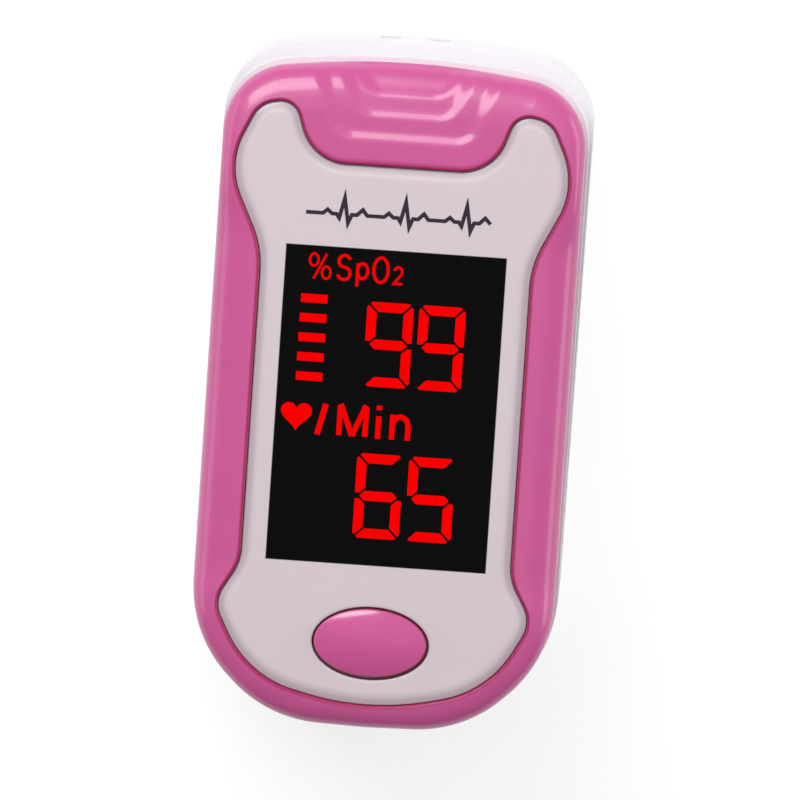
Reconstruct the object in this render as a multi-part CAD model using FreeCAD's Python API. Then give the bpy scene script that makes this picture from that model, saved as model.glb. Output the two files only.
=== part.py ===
"""Fingertip pulse oximeter: two spring-loaded jaws on a pivot pin, built as an assembly of separate pieces.

Frame: millimetres. X runs across the device, +X to the right of someone reading the display. Y runs along
the finger, from the mouth (-Y) to the squeeze grip (+Y). Z is up, the display side. The origin is the middle of
the underside. The lower jaw stands on z = 0 and holds two AAA cells; the upper jaw carries the display.
"""
import FreeCAD
import Part

import math
import os

V = FreeCAD.Vector

# ---------------------------------------------------------------- overall sizes
lower_length = 60.0          # lower jaw, mouth to grip end
cover_setback = 0.9          # how far the pink cover stops short of the lower jaw's grip end
cover_width = 32.0
total_height = 32.0
back_slope = math.radians(7.2)   # how far the grip end's sides are from square, so that it bows outwards
cover_back_radius = 6.0      # plan radius of the corners at the grip end
mouth_radius = 40.0          # plan radius of the mouth end in its middle,
mouth_corner_radius = 11.5   # at its corners
mouth_side_radius = 11.5     # and where it runs into the sides

# ---------------------------------------------------------------- shells
wall = 1.4
fit = 0.1                    # clearance between pieces that are assembled and stay put
parting_z = 18.0             # plane where the jaws meet
parting_gap = 0.3
skirt_z = 25.0               # lower edge of the pink cover
frame_step = 0.2             # the white upper frame stands this far outside the cover, all round
lower_step_back = 0.5        # the lower jaw stands this far outside the cover at the grip end
lower_step_front = 0.2       # and this far at the mouth
cover_edge_radius = 2.0
lower_edge_radius = 4.0
floor = 2.0                  # floor of the lower cover, which also holds the door's rails
plate = 1.2                  # floor of the upper frame and plate of the lower tray
top_wall = 1.7               # roof of the pink cover

# ---------------------------------------------------------------- jaw hinge
pivot_y = 13.0
pivot_z = parting_z
pin_radius = 1.0
pin_run = 0.04               # radial running clearance of the pin in the upper ears
ear_radius = 2.6
ear_thick = 1.8
ear_inner_x = 8.2            # inner face of the lower jaw's ears
ear_gap = 0.3                # side gap between the two jaws' ears
ear_room = 0.3               # radial room that each jaw leaves round the other jaw's ears
tail_slope_lower = math.radians(10)
tail_slope_upper = math.radians(11)

# ---------------------------------------------------------------- finger channel
channel_half = 9.0           # half width between the cushions
channel_down = 3.5           # depth of the lower cushion's surface below the parting plane
channel_up = 4.5             # height of the upper cushion's surface above it
pad_thick = 1.1
tray_thick = 0.9
stop_y = 8.0                 # where the fingertip stops
sensor_y = -6.0              # light path through the fingertip
window_x = 4.4
window_y = 6.4
window_thick = 0.8

# ---------------------------------------------------------------- face of the device
panel_top_drop = 0.3         # the panel's face lies this far below the cover's rim
panel_thick = 1.2
adhesive_thick = 0.2
ledge_thick = 1.0            # shelf of the cover that the panel is glued to
panel_gap = 0.12
screen_x = 19.5
screen_y = 28.0
screen_centre_y = -1.3
side_band = 4.1              # width of the cover beside the waist of the panel
horn_band = 0.6              # from the cover's side to the corner that the panel's horns would have
lobe_band = 1.95             # the same for the lobes beside the button
bay_half = 8.0               # half width of the grip's bay in the panel, at its square corner

# ---------------------------------------------------------------- thumb grip
grip_step = 0.3              # height of each of the three steps
grip_pitch = 2.0
grip_front_y = 22.7          # front edge of the lowest step's outline
grip_half = 5.9
grip_splay = 0.28            # how far the steps' sides lean out, per millimetre

# ---------------------------------------------------------------- button
button_y = -22.2
button_a = 5.1               # half axes of the oval
button_b = 3.15
button_gap = 0.15
button_proud = 1.0
button_travel = 0.4
button_flange = 0.9
flange_thick = 0.8
stem_radius = 1.2

# ---------------------------------------------------------------- electronics
board_thick = 1.0
board_top_z = 27.0
board_half_x = 10.9
board_front_y = -26.2
board_back_y = 18.5
post_x = 9.4                 # posts of the upper frame that carry the board
post_front_y = -20.0
post_back_y = 17.2
post_radius = 0.9
display_margin = 0.15        # the display module is this much larger than the screen, all round
switch_size = 4.5
switch_height = 1.5
plunger_radius = 1.0
ribbon_width = 4.0
ribbon_thick = 0.3

# ---------------------------------------------------------------- cells and battery bay
cell_radius = 5.25
cell_length = 44.5
nub_length = 0.8
nub_radius = 1.9
cell_gap = 0.1               # between the two cells
spring_room = 2.5            # compressed length of a contact spring
contact_thick = 0.3
contact_wire = 0.5
coil_base_radius = 3.1
coil_tip_radius = 1.9
bay_wall = 0.8
door_thick = 1.2
door_half = 11.2
door_front_y = -22.5
tongue = 0.8                 # how far the door's tongues reach into the rails
tongue_low = 0.6
door_gap = 0.1

# ---------------------------------------------------------------- springs, screws, lanyard holes
wire = 0.8
coil_turns = 5
coil_pitch = wire - 0.03     # the turns press on each other
coil_start_x = 3.6
coil_mean_radius = 1.8
spring_leg = 9.5
screw_radius = 0.8
screw_head_radius = 1.5
screw_head = 0.9
screw_clear = 0.15
boss_radius = 1.65
screw_front_y = -12.0
screw_back_y = 22.0
lanyard_radius = 1.0
lanyard_half_spacing = 2.2
lanyard_z = 9.0

# ---------------------------------------------------------------- values that follow from those above
front_y = -lower_length / 2
back_y = lower_length / 2
cover_front_y = front_y + frame_step
cover_back_y = back_y - cover_setback
cover_half = cover_width / 2
panel_top_z = total_height - panel_top_drop
panel_bottom_z = panel_top_z - panel_thick
ledge_z = panel_bottom_z - adhesive_thick
upper_floor_z = parting_z + parting_gap / 2
lower_top_z = parting_z - parting_gap / 2
tray_half = channel_half + pad_thick + fit + tray_thick
tray_down = channel_down + pad_thick + fit + tray_thick
tray_up = channel_up + pad_thick + fit + tray_thick
ear_outer_x = ear_inner_x + ear_thick
upper_ear_x = ear_outer_x + ear_gap
board_bottom_z = board_top_z - board_thick
cell_x = cell_radius + cell_gap / 2
cell_z = door_thick + 0.3 + cell_radius
bay_half_x = cell_x + cell_radius + 0.15
contact_front_y = -24.4      # faces that the cells touch or their springs stand on
contact_back_y = contact_front_y + cell_length + spring_room
screw_x = cover_half - wall - boss_radius - fit
FAR = 60.0                   # longer than the device, for cuts that run right through


# ================================================================ outlines and basic solids
def offset_corners(corners, distance):
    """The outline whose sides are moved outwards by distance; round corners keep their centres."""
    count = len(corners)
    moved = []
    for i in range(count):
        before, here, after = (V(*corners[(i + k) % count][:2], 0) for k in (-1, 0, 1))
        run_in = (here - before).normalize()
        run_out = (after - here).normalize()
        turn = run_in.x * run_out.y - run_in.y * run_out.x
        normal_in = V(run_in.y, -run_in.x, 0)
        normal_out = V(run_out.y, -run_out.x, 0)
        shift = (normal_in + normal_out) * (distance / (1 + normal_in.dot(normal_out)))
        radius = corners[i][2] + (distance if turn > 0 else -distance)
        moved.append((here.x + shift.x, here.y + shift.y, max(radius, 0.05)))
    return moved


def outline(corners, z=0.0):
    """Closed wire of straight sides joined by tangent arcs, through corners given as (x, y, radius)."""
    count = len(corners)
    arcs = []
    for i in range(count):
        before, here, after = (V(*corners[(i + k) % count][:2], 0) for k in (-1, 0, 1))
        back = (before - here).normalize()
        on = (after - here).normalize()
        half_angle = math.acos(max(-1, min(1, back.dot(on)))) / 2
        radius = corners[i][2]
        reach = radius / math.tan(half_angle)
        bisector = (back + on).normalize()
        middle = here + bisector * (radius / math.sin(half_angle) - radius)
        arcs.append((here + back * reach, middle, here + on * reach))
    lift = V(0, 0, z)
    edges = []
    for i in range(count):
        start, middle, end = arcs[i]
        edges.append(Part.Arc(start + lift, middle + lift, end + lift).toShape())
        onward = arcs[(i + 1) % count][0]
        if (onward - end).Length > 1e-4:
            edges.append(Part.LineSegment(end + lift, onward + lift).toShape())
    return Part.Wire(edges)


def prism(corners, low, high):
    """Upright solid with a cornered outline."""
    return Part.Face(outline(corners, low)).extrude(V(0, 0, high - low))


def both_sides(half):
    """A full outline, anticlockwise, from its right half listed from the front middle to the back middle."""
    return half + [(-x, y, r) for x, y, r in reversed(half) if abs(x) > 1e-6]


def body_corners(half_front, half_back, y_front, y_back, r_back):
    """Plan shape of every shell: a full round at the mouth and a bowed grip end with rounder corners.

    The bow at the grip end is the flattest that still leaves a short straight run to the corners.
    """
    corner_reach = r_back * math.tan((math.pi / 2 - back_slope) / 2)
    back_bow = 0.95 * (half_back / math.cos(back_slope) - corner_reach) / math.tan(back_slope)
    back_tip = y_back + back_bow * (1 / math.cos(back_slope) - 1)
    return both_sides([
        (0, y_front - 0.009, mouth_radius),
        (half_front - 7.3, y_front + 0.18, mouth_corner_radius),
        (half_front, y_front + 7.2, mouth_side_radius),
        (half_back, back_tip - half_back * math.tan(back_slope), r_back),
        (0, back_tip, back_bow),
    ])


def block(x0, x1, y0, y1, z0, z1):
    return Part.makeBox(x1 - x0, y1 - y0, z1 - z0, V(x0, y0, z0))


def rod(x, y, z, radius, length, axis=V(0, 0, 1)):
    return Part.makeCylinder(radius, length, V(x, y, z), axis)


def side_profile(points, x0=-FAR, x1=FAR):
    """Solid whose section across X is the polygon of (y, z) points."""
    ring = [V(x0, y, z) for y, z in points]
    return Part.Face(Part.makePolygon(ring + ring[:1])).extrude(V(x1 - x0, 0, 0))


def oval_prism(a, b, y, low, high):
    """Upright solid on an oval of half axes a across and b along the device."""
    big, small = (V(a, y, low), V(0, y + b, low))
    ellipse = Part.Ellipse(big, small, V(0, y, low)).toShape()
    return Part.Face(Part.Wire(ellipse)).extrude(V(0, 0, high - low))


def channel(half, height, y0, y1):
    """Half of an oval tunnel along Y; height is positive above the parting plane and negative below it."""
    grow = half / abs(height)
    tube = rod(0, 0, 0, abs(height), y1 - y0, V(0, 1, 0))
    matrix = FreeCAD.Matrix()
    matrix.scale(grow, 1, 1)
    tube = tube.transformGeometry(matrix)
    tube.translate(V(0, y0, parting_z))
    side = (parting_z, parting_z + FAR) if height > 0 else (parting_z - FAR, parting_z)
    return tube.common(block(-FAR, FAR, y0 - 1, y1 + 1, *side))


def edges_at_z(shape, z, keep=lambda edge: True):
    """Edges that lie in the plane at height z and pass the test."""
    found = []
    for edge in shape.Edges:
        box = edge.BoundBox
        if abs(box.ZMin - z) < 1e-3 and abs(box.ZMax - z) < 1e-3 and keep(edge):
            found.append(edge)
    return found


def one_solid(shape):
    """The shape with its split faces joined again, checked to be a single valid solid."""
    whole = shape.removeSplitter()
    if len(whole.Solids) != 1 or not whole.isValid():
        raise ValueError(f"{len(whole.Solids)} solids, valid {whole.isValid()}")
    return whole.Solids[0]


# ================================================================ plan shapes
cover_plan = body_corners(cover_half, cover_half, cover_front_y, cover_back_y, cover_back_radius)
frame_plan = offset_corners(cover_plan, frame_step)
lower_plan = body_corners(
    cover_half + lower_step_front, cover_half + lower_step_back, front_y, back_y,
    cover_back_radius + lower_step_back,
)
tray_plan = offset_corners(lower_plan, -wall - fit)

# Right half of the panel, from the middle of the mouth end to the middle of the grip's bay. The lobes round
# the button are tied to the mouth, the horns and the bay to the grip end, and the waist to the cover's sides.
panel_plan = both_sides([
    (0, cover_front_y + 1.5, 23.6),
    (cover_half - 5.4, cover_front_y + 4.0, 9.3),
    (cover_half - lobe_band, cover_front_y + 10.4, 2.8),
    (cover_half - side_band, cover_front_y + 14.1, 4.8),
    (cover_half - side_band, cover_back_y - 16.9, 8.9),
    (cover_half - horn_band, cover_back_y - 9.7, 6.6),
    (cover_half - 3.16, cover_back_y - 4.2, 2.4),
    (cover_half - 6.2, cover_back_y - 3.7, 1.7),
    (bay_half, cover_back_y - 9.1, 4.2),
])


def jaw_space(low, high, raise_floor=0.0):
    """Room above the parting plane, whose floor slopes up behind the pivot; raise_floor lifts that floor."""
    rise = (FAR - pivot_y) * math.tan(tail_slope_upper)
    return side_profile([
        (-FAR, low + raise_floor), (pivot_y, low + raise_floor), (FAR, low + raise_floor + rise),
        (FAR, high), (-FAR, high),
    ])


def lower_space(top, drop=0.0):
    """Room below the parting plane, whose roof slopes down behind the pivot; drop lowers that roof."""
    fall = (FAR - pivot_y) * math.tan(tail_slope_lower)
    return side_profile([
        (-FAR, -1), (-FAR, top - drop), (pivot_y, top - drop), (FAR, top - drop - fall), (FAR, -1),
    ])


# ================================================================ upper jaw
def grip_cutters():
    """Three trapezoid steps, nested and open at the grip end, each one step deeper than the one round it."""
    cutters = []
    for level in range(3):
        y0 = grip_front_y + level * grip_pitch
        half = grip_half - level * grip_pitch * 0.55
        run = cover_back_y + 3 - y0
        corners = [
            (half, y0, 0.9), (half + run * grip_splay, y0 + run, 0.2),
            (-half - run * grip_splay, y0 + run, 0.2), (-half, y0, 0.9),
        ]
        depth = grip_step * (level + 1)
        cutters.append(prism(corners, total_height - depth, total_height + 3))
    return cutters


def make_upper_cover():
    """Pink cover: roof with the panel's pocket and ledge, side skirt, screw bosses and the stepped grip."""
    shell = prism(cover_plan, skirt_z, total_height)
    shell = shell.makeFillet(cover_edge_radius, edges_at_z(shell, total_height))
    shell = shell.cut(prism(offset_corners(cover_plan, -wall), skirt_z - 1, total_height - top_wall))
    shelf = prism(offset_corners(panel_plan, 1.0), ledge_z - ledge_thick, ledge_z)
    shell = shell.fuse(shelf.common(prism(offset_corners(cover_plan, -wall / 2), skirt_z, total_height)))
    for x, y in screw_places():
        foot = upper_boss_z(y)
        shell = shell.fuse(rod(x, y, foot, boss_radius, ledge_z - ledge_thick / 2 - foot))
    shell = shell.cut(prism(offset_corners(panel_plan, panel_gap), ledge_z, total_height + 1))
    shell = shell.cut(shelf_openings(0.0))
    for x, y in screw_places():
        shell = shell.cut(rod(x, y, 0, screw_radius + 0.02, upper_boss_z(y) + 4.5))
    for cutter in grip_cutters():
        shell = shell.cut(cutter)
    return one_solid(shell)


def shelf_openings(shrink):
    """Openings below the panel for the display module and for the button's flange."""
    half_x = screen_x / 2 + display_margin + 0.2 - shrink
    half_y = screen_y / 2 + display_margin + 0.2 - shrink
    screen = block(-half_x, half_x, screen_centre_y - half_y, screen_centre_y + half_y, ledge_z - 3, FAR)
    button = oval_prism(button_a + button_flange + 0.2 - shrink, button_b + button_flange + 0.2 - shrink,
                        button_y, ledge_z - 3, FAR)
    return screen.fuse(button)


def screw_places():
    """Where the screws stand: one near each corner, the same in both jaws."""
    return [(side * screw_x, y) for side in (-1, 1) for y in (screw_front_y, screw_back_y)]


def tail_rise(y):
    """How far the upper frame's floor has risen at y."""
    return max(0.0, y - pivot_y) * math.tan(tail_slope_upper)


def tail_fall(y):
    """How far the lower jaw's top has fallen at y."""
    return max(0.0, y - pivot_y) * math.tan(tail_slope_lower)


def upper_boss_z(y):
    """Where the cover's bosses meet the pads on the frame's floor."""
    return upper_floor_z + tail_rise(y) + 2.6


def make_upper_frame():
    """White frame of the upper jaw: side wall, floor, roof of the channel, hinge ears and screw pads."""
    body = prism(frame_plan, parting_z - 1, skirt_z).common(jaw_space(upper_floor_z, FAR))
    hollow = prism(offset_corners(frame_plan, -wall - frame_step), 0, FAR)
    frame = body.cut(hollow.common(jaw_space(upper_floor_z, FAR, plate)))
    arch = channel(tray_half, tray_up, front_y - 1, stop_y + fit + pad_thick + tray_thick)
    frame = frame.fuse(arch.common(body))
    collar = block(-window_x / 2 - 1, window_x / 2 + 1, sensor_y - window_y / 2 - 1, sensor_y + window_y / 2 + 1,
                   parting_z + tray_up - 1, skirt_z)
    frame = frame.fuse(collar)
    for x, y in screw_places():
        pad = rod(x, y, parting_z, screw_head_radius + 0.9, upper_boss_z(y) - fit - parting_z)
        frame = frame.fuse(pad.common(body))
    for x in (-post_x, post_x):
        for y in (post_front_y, post_back_y):
            low = upper_floor_z + tail_rise(y) + plate / 2
            frame = frame.fuse(rod(x, y, low, post_radius, board_bottom_z - low))
    lip = prism(offset_corners(cover_plan, -wall - fit), skirt_z - 1, skirt_z + 1.2)
    root = prism(offset_corners(cover_plan, -wall + 0.3), skirt_z - 1, skirt_z - 0.2)
    bore = prism(offset_corners(cover_plan, -wall - fit - 0.8), skirt_z - 2, skirt_z + 3)
    frame = frame.fuse(lip.fuse(root).cut(bore))
    channel_end = stop_y + fit + pad_thick
    frame = frame.cut(channel(tray_half - tray_thick, tray_up - tray_thick, front_y - 2, channel_end))
    frame = frame.cut(sensor_hole(parting_z, parting_z + FAR)).cut(leg_slots(True))
    frame = frame.cut(rod(-ear_outer_x - ear_gap / 2, pivot_y, pivot_z, ear_radius + ear_room,
                          2 * ear_outer_x + ear_gap, V(1, 0, 0)))
    for side in (-1, 1):
        low_x = min(side * upper_ear_x, side * (upper_ear_x + ear_thick))
        ear = rod(low_x, pivot_y, pivot_z, ear_radius, ear_thick, V(1, 0, 0))
        web = block(low_x, low_x + ear_thick, pivot_y - ear_radius, pivot_y + ear_radius,
                    pivot_z, upper_floor_z + plate + 0.6)
        frame = frame.fuse(ear.fuse(web))
    frame = frame.cut(rod(-FAR, pivot_y, pivot_z, pin_radius + pin_run, 2 * FAR, V(1, 0, 0)).common(
        block(-upper_ear_x - ear_thick - 1, upper_ear_x + ear_thick + 1, 0, FAR, 0, FAR)))
    for x, y in screw_places():
        seat = upper_floor_z + tail_rise(y) + 1.1
        frame = frame.cut(rod(x, y, parting_z - 2, screw_head_radius + screw_clear, seat - parting_z + 2))
        frame = frame.cut(rod(x, y, parting_z - 2, screw_radius + screw_clear, 9))
    for x, y in screw_places():
        frame = frame.cut(rod(x, y, upper_boss_z(y) - fit, boss_radius + screw_clear, FAR))
    return one_solid(frame)


def sensor_hole(low, high):
    return block(-window_x / 2, window_x / 2, sensor_y - window_y / 2, sensor_y + window_y / 2, low, high)


def make_pad(height):
    """Silicone cushion lining one side of the finger channel, with a window for the light."""
    sign = 1 if height > 0 else -1
    end = stop_y + pad_thick
    outer = channel(channel_half + pad_thick, height + sign * pad_thick, front_y, end)
    inner = channel(channel_half, height, front_y - 1, stop_y)
    pad = outer.cut(inner)
    pad = pad.common(prism(offset_corners(cover_plan, -0.25), 0, FAR))
    gap = 0.35
    keep = block(-FAR, FAR, -FAR, FAR, parting_z + gap, FAR)
    if sign < 0:
        keep = block(-FAR, FAR, -FAR, FAR, 0, parting_z - gap)
    pad = pad.common(keep)
    return one_solid(pad.cut(sensor_hole(0, FAR)))


def make_window(height):
    """Clear window that closes the hole in a cushion."""
    surface = parting_z + height
    low, high = (surface, surface + window_thick) if height > 0 else (surface - window_thick, surface)
    return block(-window_x / 2 + 0.05, window_x / 2 - 0.05, sensor_y - window_y / 2 + 0.05,
                 sensor_y + window_y / 2 - 0.05, low, high)


def make_front_panel():
    """Printed lens of the display side, with its oval hole for the button and a rounded edge."""
    panel = prism(panel_plan, panel_bottom_z, panel_top_z)
    panel = panel.makeFillet(0.45, edges_at_z(panel, panel_top_z))
    hole = oval_prism(button_a + button_gap, button_b + button_gap, button_y, 0, FAR)
    return one_solid(panel.cut(hole))


def make_panel_adhesive():
    """Sheet of adhesive between the cover's shelf and the panel."""
    sheet = prism(offset_corners(panel_plan, -0.3), ledge_z, panel_bottom_z)
    return one_solid(sheet.cut(shelf_openings(-0.2)))


def make_power_button():
    """Oval cap with a retaining flange below the panel and a stem that meets the switch."""
    top = panel_top_z + button_proud
    flange_top = panel_bottom_z - 0.05
    cap = oval_prism(button_a, button_b, button_y, flange_top - flange_thick / 2, top)
    cap = cap.makeFillet(0.5, edges_at_z(cap, top))
    flange = oval_prism(button_a + button_flange, button_b + button_flange, button_y,
                        flange_top - flange_thick, flange_top)
    stem = rod(0, button_y, plunger_top_z() + 0.02, stem_radius, flange_top - plunger_top_z() - 0.3)
    return one_solid(cap.fuse(flange).fuse(stem))


def plunger_top_z():
    return board_top_z + switch_height + button_travel + 0.1


def make_tact_switch():
    half = switch_size / 2
    body = block(-half, half, button_y - half, button_y + half, board_top_z, board_top_z + switch_height)
    body = body.makeFillet(0.3, [e for e in body.Edges if abs(e.BoundBox.ZLength - switch_height) < 1e-6])
    well = rod(0, button_y, board_top_z + 0.5, plunger_radius + 0.1, FAR)
    return one_solid(body.cut(well))


def make_switch_plunger():
    low = board_top_z + switch_height - 0.5
    return rod(0, button_y, low, plunger_radius, plunger_top_z() - low)


def make_main_board():
    corners = [
        (board_half_x - 3.5, board_front_y, 1.5), (board_half_x, board_front_y + 6, 2.0),
        (board_half_x, board_back_y, 1.0), (-board_half_x, board_back_y, 1.0),
        (-board_half_x, board_front_y + 6, 2.0), (-board_half_x + 3.5, board_front_y, 1.5),
    ]
    return one_solid(prism(corners, board_bottom_z, board_top_z))


def make_led_display():
    """Display module: a block that stands on the board and reaches up to just under the panel."""
    half_x = screen_x / 2 + display_margin
    half_y = screen_y / 2 + display_margin
    high = panel_bottom_z - 0.15
    body = block(-half_x, half_x, screen_centre_y - half_y, screen_centre_y + half_y, board_top_z, high)
    return body.makeFillet(0.3, [e for e in body.Edges if e.BoundBox.ZLength > 1])


def make_chips():
    """Controller and its amplifier on the board's lower side, one on each side of the channel's crown."""
    chips = []
    for x, y, sx, sy in [(0, 2.5, 7.0, 7.0), (0, -18.0, 5.0, 4.0)]:
        chip = block(x - sx / 2, x + sx / 2, y - sy / 2, y + sy / 2, board_bottom_z - 0.9, board_bottom_z)
        chips.append(chip.makeFillet(0.25, [e for e in chip.Edges if e.BoundBox.ZLength > 0.5]))
    return chips


def make_photo_detector():
    high = board_bottom_z
    low = parting_z + channel_up + window_thick + 0.3
    return block(-1.9, 1.9, sensor_y - 2.4, sensor_y + 2.4, low, high)


# ================================================================ lower jaw
def door_space(gap):
    """Room that the battery door and its tongues take, grown by gap on every side; open at the grip end."""
    middle = block(-door_half - gap, door_half + gap, door_front_y - gap, FAR, -1, door_thick + gap)
    tongues = block(-door_half - tongue - gap, door_half + tongue + gap, door_front_y + 2 - gap, FAR,
                    tongue_low - gap, door_thick + gap)
    return middle.fuse(tongues)


def lower_outside():
    """The lower jaw's outer form, before anything is cut into it."""
    outside = prism(lower_plan, 0, parting_z)
    outside = outside.makeFillet(lower_edge_radius, edges_at_z(outside, 0))
    return outside.common(lower_space(lower_top_z))


def make_lower_cover():
    """White lower shell: walls, floor with the door's opening and rails, battery bay, lanyard holes."""
    shell = lower_outside()
    inside = prism(offset_corners(lower_plan, -wall), floor, FAR)
    inside = inside.makeFillet(lower_edge_radius - wall - 0.3, edges_at_z(inside, floor))
    shell = shell.cut(inside)
    bay_front = contact_front_y - contact_thick - bay_wall
    bay_back = contact_back_y + contact_thick + bay_wall
    bay_x = bay_half_x + bay_wall
    bay = block(-bay_x, bay_x, bay_front, bay_back, floor - 0.5, cell_z + 2.3)
    bay = bay.cut(block(-bay_half_x, bay_half_x, bay_front + bay_wall, bay_back - bay_wall, 0, FAR))
    shell = shell.fuse(bay.common(lower_outside()))
    for x, y in screw_places():
        boss = rod(x, y, floor - 0.5, boss_radius, lower_boss_z(y) - floor + 0.5)
        boss = boss.common(prism(offset_corners(lower_plan, -wall / 2), 0, FAR))
        shell = shell.fuse(boss.common(lower_outside()))
    shell = shell.cut(door_space(door_gap))
    opening = block(-bay_half_x, bay_half_x, door_front_y - door_gap, contact_back_y, -1, floor + 0.1)
    shell = shell.cut(opening)
    for side in (-1, 1):
        shell = shell.cut(rod(side * cell_x, contact_front_y, cell_z, cell_radius + 0.15,
                              contact_back_y - contact_front_y, V(0, 1, 0)))
    room = pad_thick + fit
    mouth = channel(channel_half + room, -channel_down - room, front_y - 1, front_y + 6)
    shell = shell.cut(mouth)
    for x, y in screw_places():
        shell = shell.cut(rod(x, y, lower_boss_z(y) - 5.5, screw_radius + 0.02, FAR))
    for side in (-1, 1):
        shell = shell.cut(rod(side * lanyard_half_spacing, back_y - wall - 3, lanyard_z, lanyard_radius, 8,
                              V(0, 1, 0)))
    return one_solid(shell)


def lower_boss_z(y):
    """Top of the lower cover's bosses, under the tray's plate."""
    return lower_top_z - tail_fall(y) - plate - fit - 0.8


def make_battery_door():
    """Flush door that slides out at the grip end on two tongues, with ridges for the thumb and an arrow."""
    shape = door_space(0).common(lower_outside())
    shape = shape.cut(block(-bay_half_x + 1.2, bay_half_x - 1.2, door_front_y + 4, contact_back_y - 3,
                            door_thick - 0.35, FAR))
    for k in range(5):
        y = 14.0 + 1.6 * k
        half = 7.0 - 0.7 * abs(k - 2)
        groove = block(-half, half, y - 0.4, y + 0.4, -1, 0.35)
        shape = shape.cut(groove)
    arrow = Part.makePolygon([V(-2.2, 9, -1), V(2.2, 9, -1), V(0, 12, -1), V(-2.2, 9, -1)])
    shape = shape.cut(Part.Face(arrow).extrude(V(0, 0, 1.25)))
    return one_solid(shape)


def make_lower_tray():
    """Tray of the lower jaw: plate on the cover's bosses, trough of the finger channel, ears for the pin."""
    body = prism(tray_plan, 0, parting_z).common(lower_space(lower_top_z))
    tray = body.cut(lower_space(lower_top_z, plate))
    trough = channel(tray_half, -tray_down, front_y - 1, stop_y + fit + pad_thick + tray_thick)
    reach = prism(lower_plan, 0, FAR).common(lower_space(lower_top_z))
    tray = tray.fuse(trough.common(prism(tray_plan, 0, FAR)).common(reach))
    collar = block(-window_x / 2 - 0.8, window_x / 2 + 0.8, sensor_y - window_y / 2 - 0.8,
                   sensor_y + window_y / 2 + 0.8, emitter_board_z() + 0.5, parting_z - tray_down + 0.6)
    tray = tray.fuse(collar)
    for x, y in screw_places():
        top = lower_top_z - tail_fall(y)
        pad = rod(x, y, lower_boss_z(y) + fit, screw_head_radius + 0.75, top - lower_boss_z(y))
        tray = tray.fuse(pad.common(body))
    channel_end = stop_y + fit + pad_thick
    tray = tray.cut(channel(tray_half - tray_thick, tray_thick - tray_down, front_y - 2, channel_end))
    tray = tray.cut(sensor_hole(0, parting_z)).cut(leg_slots(False))
    room = upper_ear_x + ear_thick + ear_gap
    tray = tray.cut(rod(-room, pivot_y, pivot_z, ear_radius + ear_room, 2 * room, V(1, 0, 0)))
    for side in (-1, 1):
        low_x = min(side * ear_inner_x, side * ear_outer_x)
        ear = rod(low_x, pivot_y, pivot_z, ear_radius, ear_thick, V(1, 0, 0))
        web = block(low_x, low_x + ear_thick, pivot_y - ear_radius, pivot_y + ear_radius,
                    pivot_z - ear_radius - ear_room - 1.2, pivot_z)
        foot = block(low_x, low_x + ear_thick, stop_y + fit + pad_thick + 0.2, pivot_y + ear_radius + 3.2,
                     pivot_z - ear_radius - ear_room - 1.2, pivot_z - ear_radius - ear_room + 0.3)
        tie_front, tie_back = pivot_y + ear_radius + ear_room - 0.1, pivot_y + ear_radius + 3.2
        tie = block(low_x, low_x + ear_thick, tie_front, tie_back,
                    pivot_z - ear_radius - ear_room - 1.2, lower_top_z - tail_fall(tie_back))
        tray = tray.fuse(ear.fuse(web).fuse(foot).fuse(tie))
    tray = tray.cut(rod(-FAR, pivot_y, pivot_z, pin_radius, 2 * FAR, V(1, 0, 0)))
    for x, y in screw_places():
        seat = lower_boss_z(y) + fit + 0.9
        tray = tray.cut(rod(x, y, seat, screw_head_radius + screw_clear, FAR))
        tray = tray.cut(rod(x, y, seat - 3, screw_radius + screw_clear, FAR))
    return one_solid(tray)


def emitter_board_z():
    return parting_z - tray_down - 1.2


def make_emitter_board():
    return block(-2.0, 2.0, sensor_y - 3.6, sensor_y + 6.0, emitter_board_z(), emitter_board_z() + 0.4)


def make_emitter_led():
    low = emitter_board_z() + 0.4
    high = parting_z - channel_down - window_thick - 0.1
    return block(-1.5, 1.5, sensor_y - 1.9, sensor_y + 1.9, low, high)


def make_screws(upward):
    """The four screws of one jaw; upward ones hold the upper jaw together, the others the lower jaw."""
    screws = []
    for x, y in screw_places():
        if upward:
            seat = upper_floor_z + tail_rise(y) + 1.1
            head = rod(x, y, seat - screw_head, screw_head_radius, screw_head)
            shank = rod(x, y, seat - 0.1, screw_radius, 5.4)
            slot_z = seat - screw_head - 1
        else:
            seat = lower_boss_z(y) + fit + 0.9
            head = rod(x, y, seat, screw_head_radius, screw_head)
            shank = rod(x, y, seat - 5.4, screw_radius, 5.5)
            slot_z = seat + screw_head - 0.4
        screw = head.fuse(shank)
        for turn in (0, 90):
            arm = block(-0.85, 0.85, -0.2, 0.2, 0, 1.4)
            arm.rotate(V(0, 0, 0), V(0, 0, 1), turn)
            arm.translate(V(x, y, slot_z))
            screw = screw.cut(arm)
        screws.append(one_solid(screw))
    return screws


def make_pivot_pin():
    half = upper_ear_x + ear_thick - 0.1
    pin = rod(-half, pivot_y, pivot_z, pin_radius, 2 * half, V(1, 0, 0))
    return pin.makeChamfer(0.2, [e for e in pin.Edges if e.Curve.TypeId == "Part::GeomCircle"])


def make_spring(side):
    """Torsion spring on the pin: closed turns side by side, one leg under the pin and one over it."""
    turns = None
    for k in range(coil_turns):
        centre = V(coil_start_x + k * coil_pitch, pivot_y, pivot_z)
        turn = Part.makeTorus(coil_mean_radius, wire / 2, centre, V(1, 0, 0))
        turns = turn if turns is None else turns.fuse(turn)
    for x, z in spring_legs():
        turns = turns.fuse(rod(x, pivot_y, z, wire / 2 - 0.04, spring_leg, V(0, 1, 0)))
    if side < 0:
        turns = turns.mirror(V(0, 0, 0), V(1, 0, 0))
    return one_solid(turns)


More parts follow.
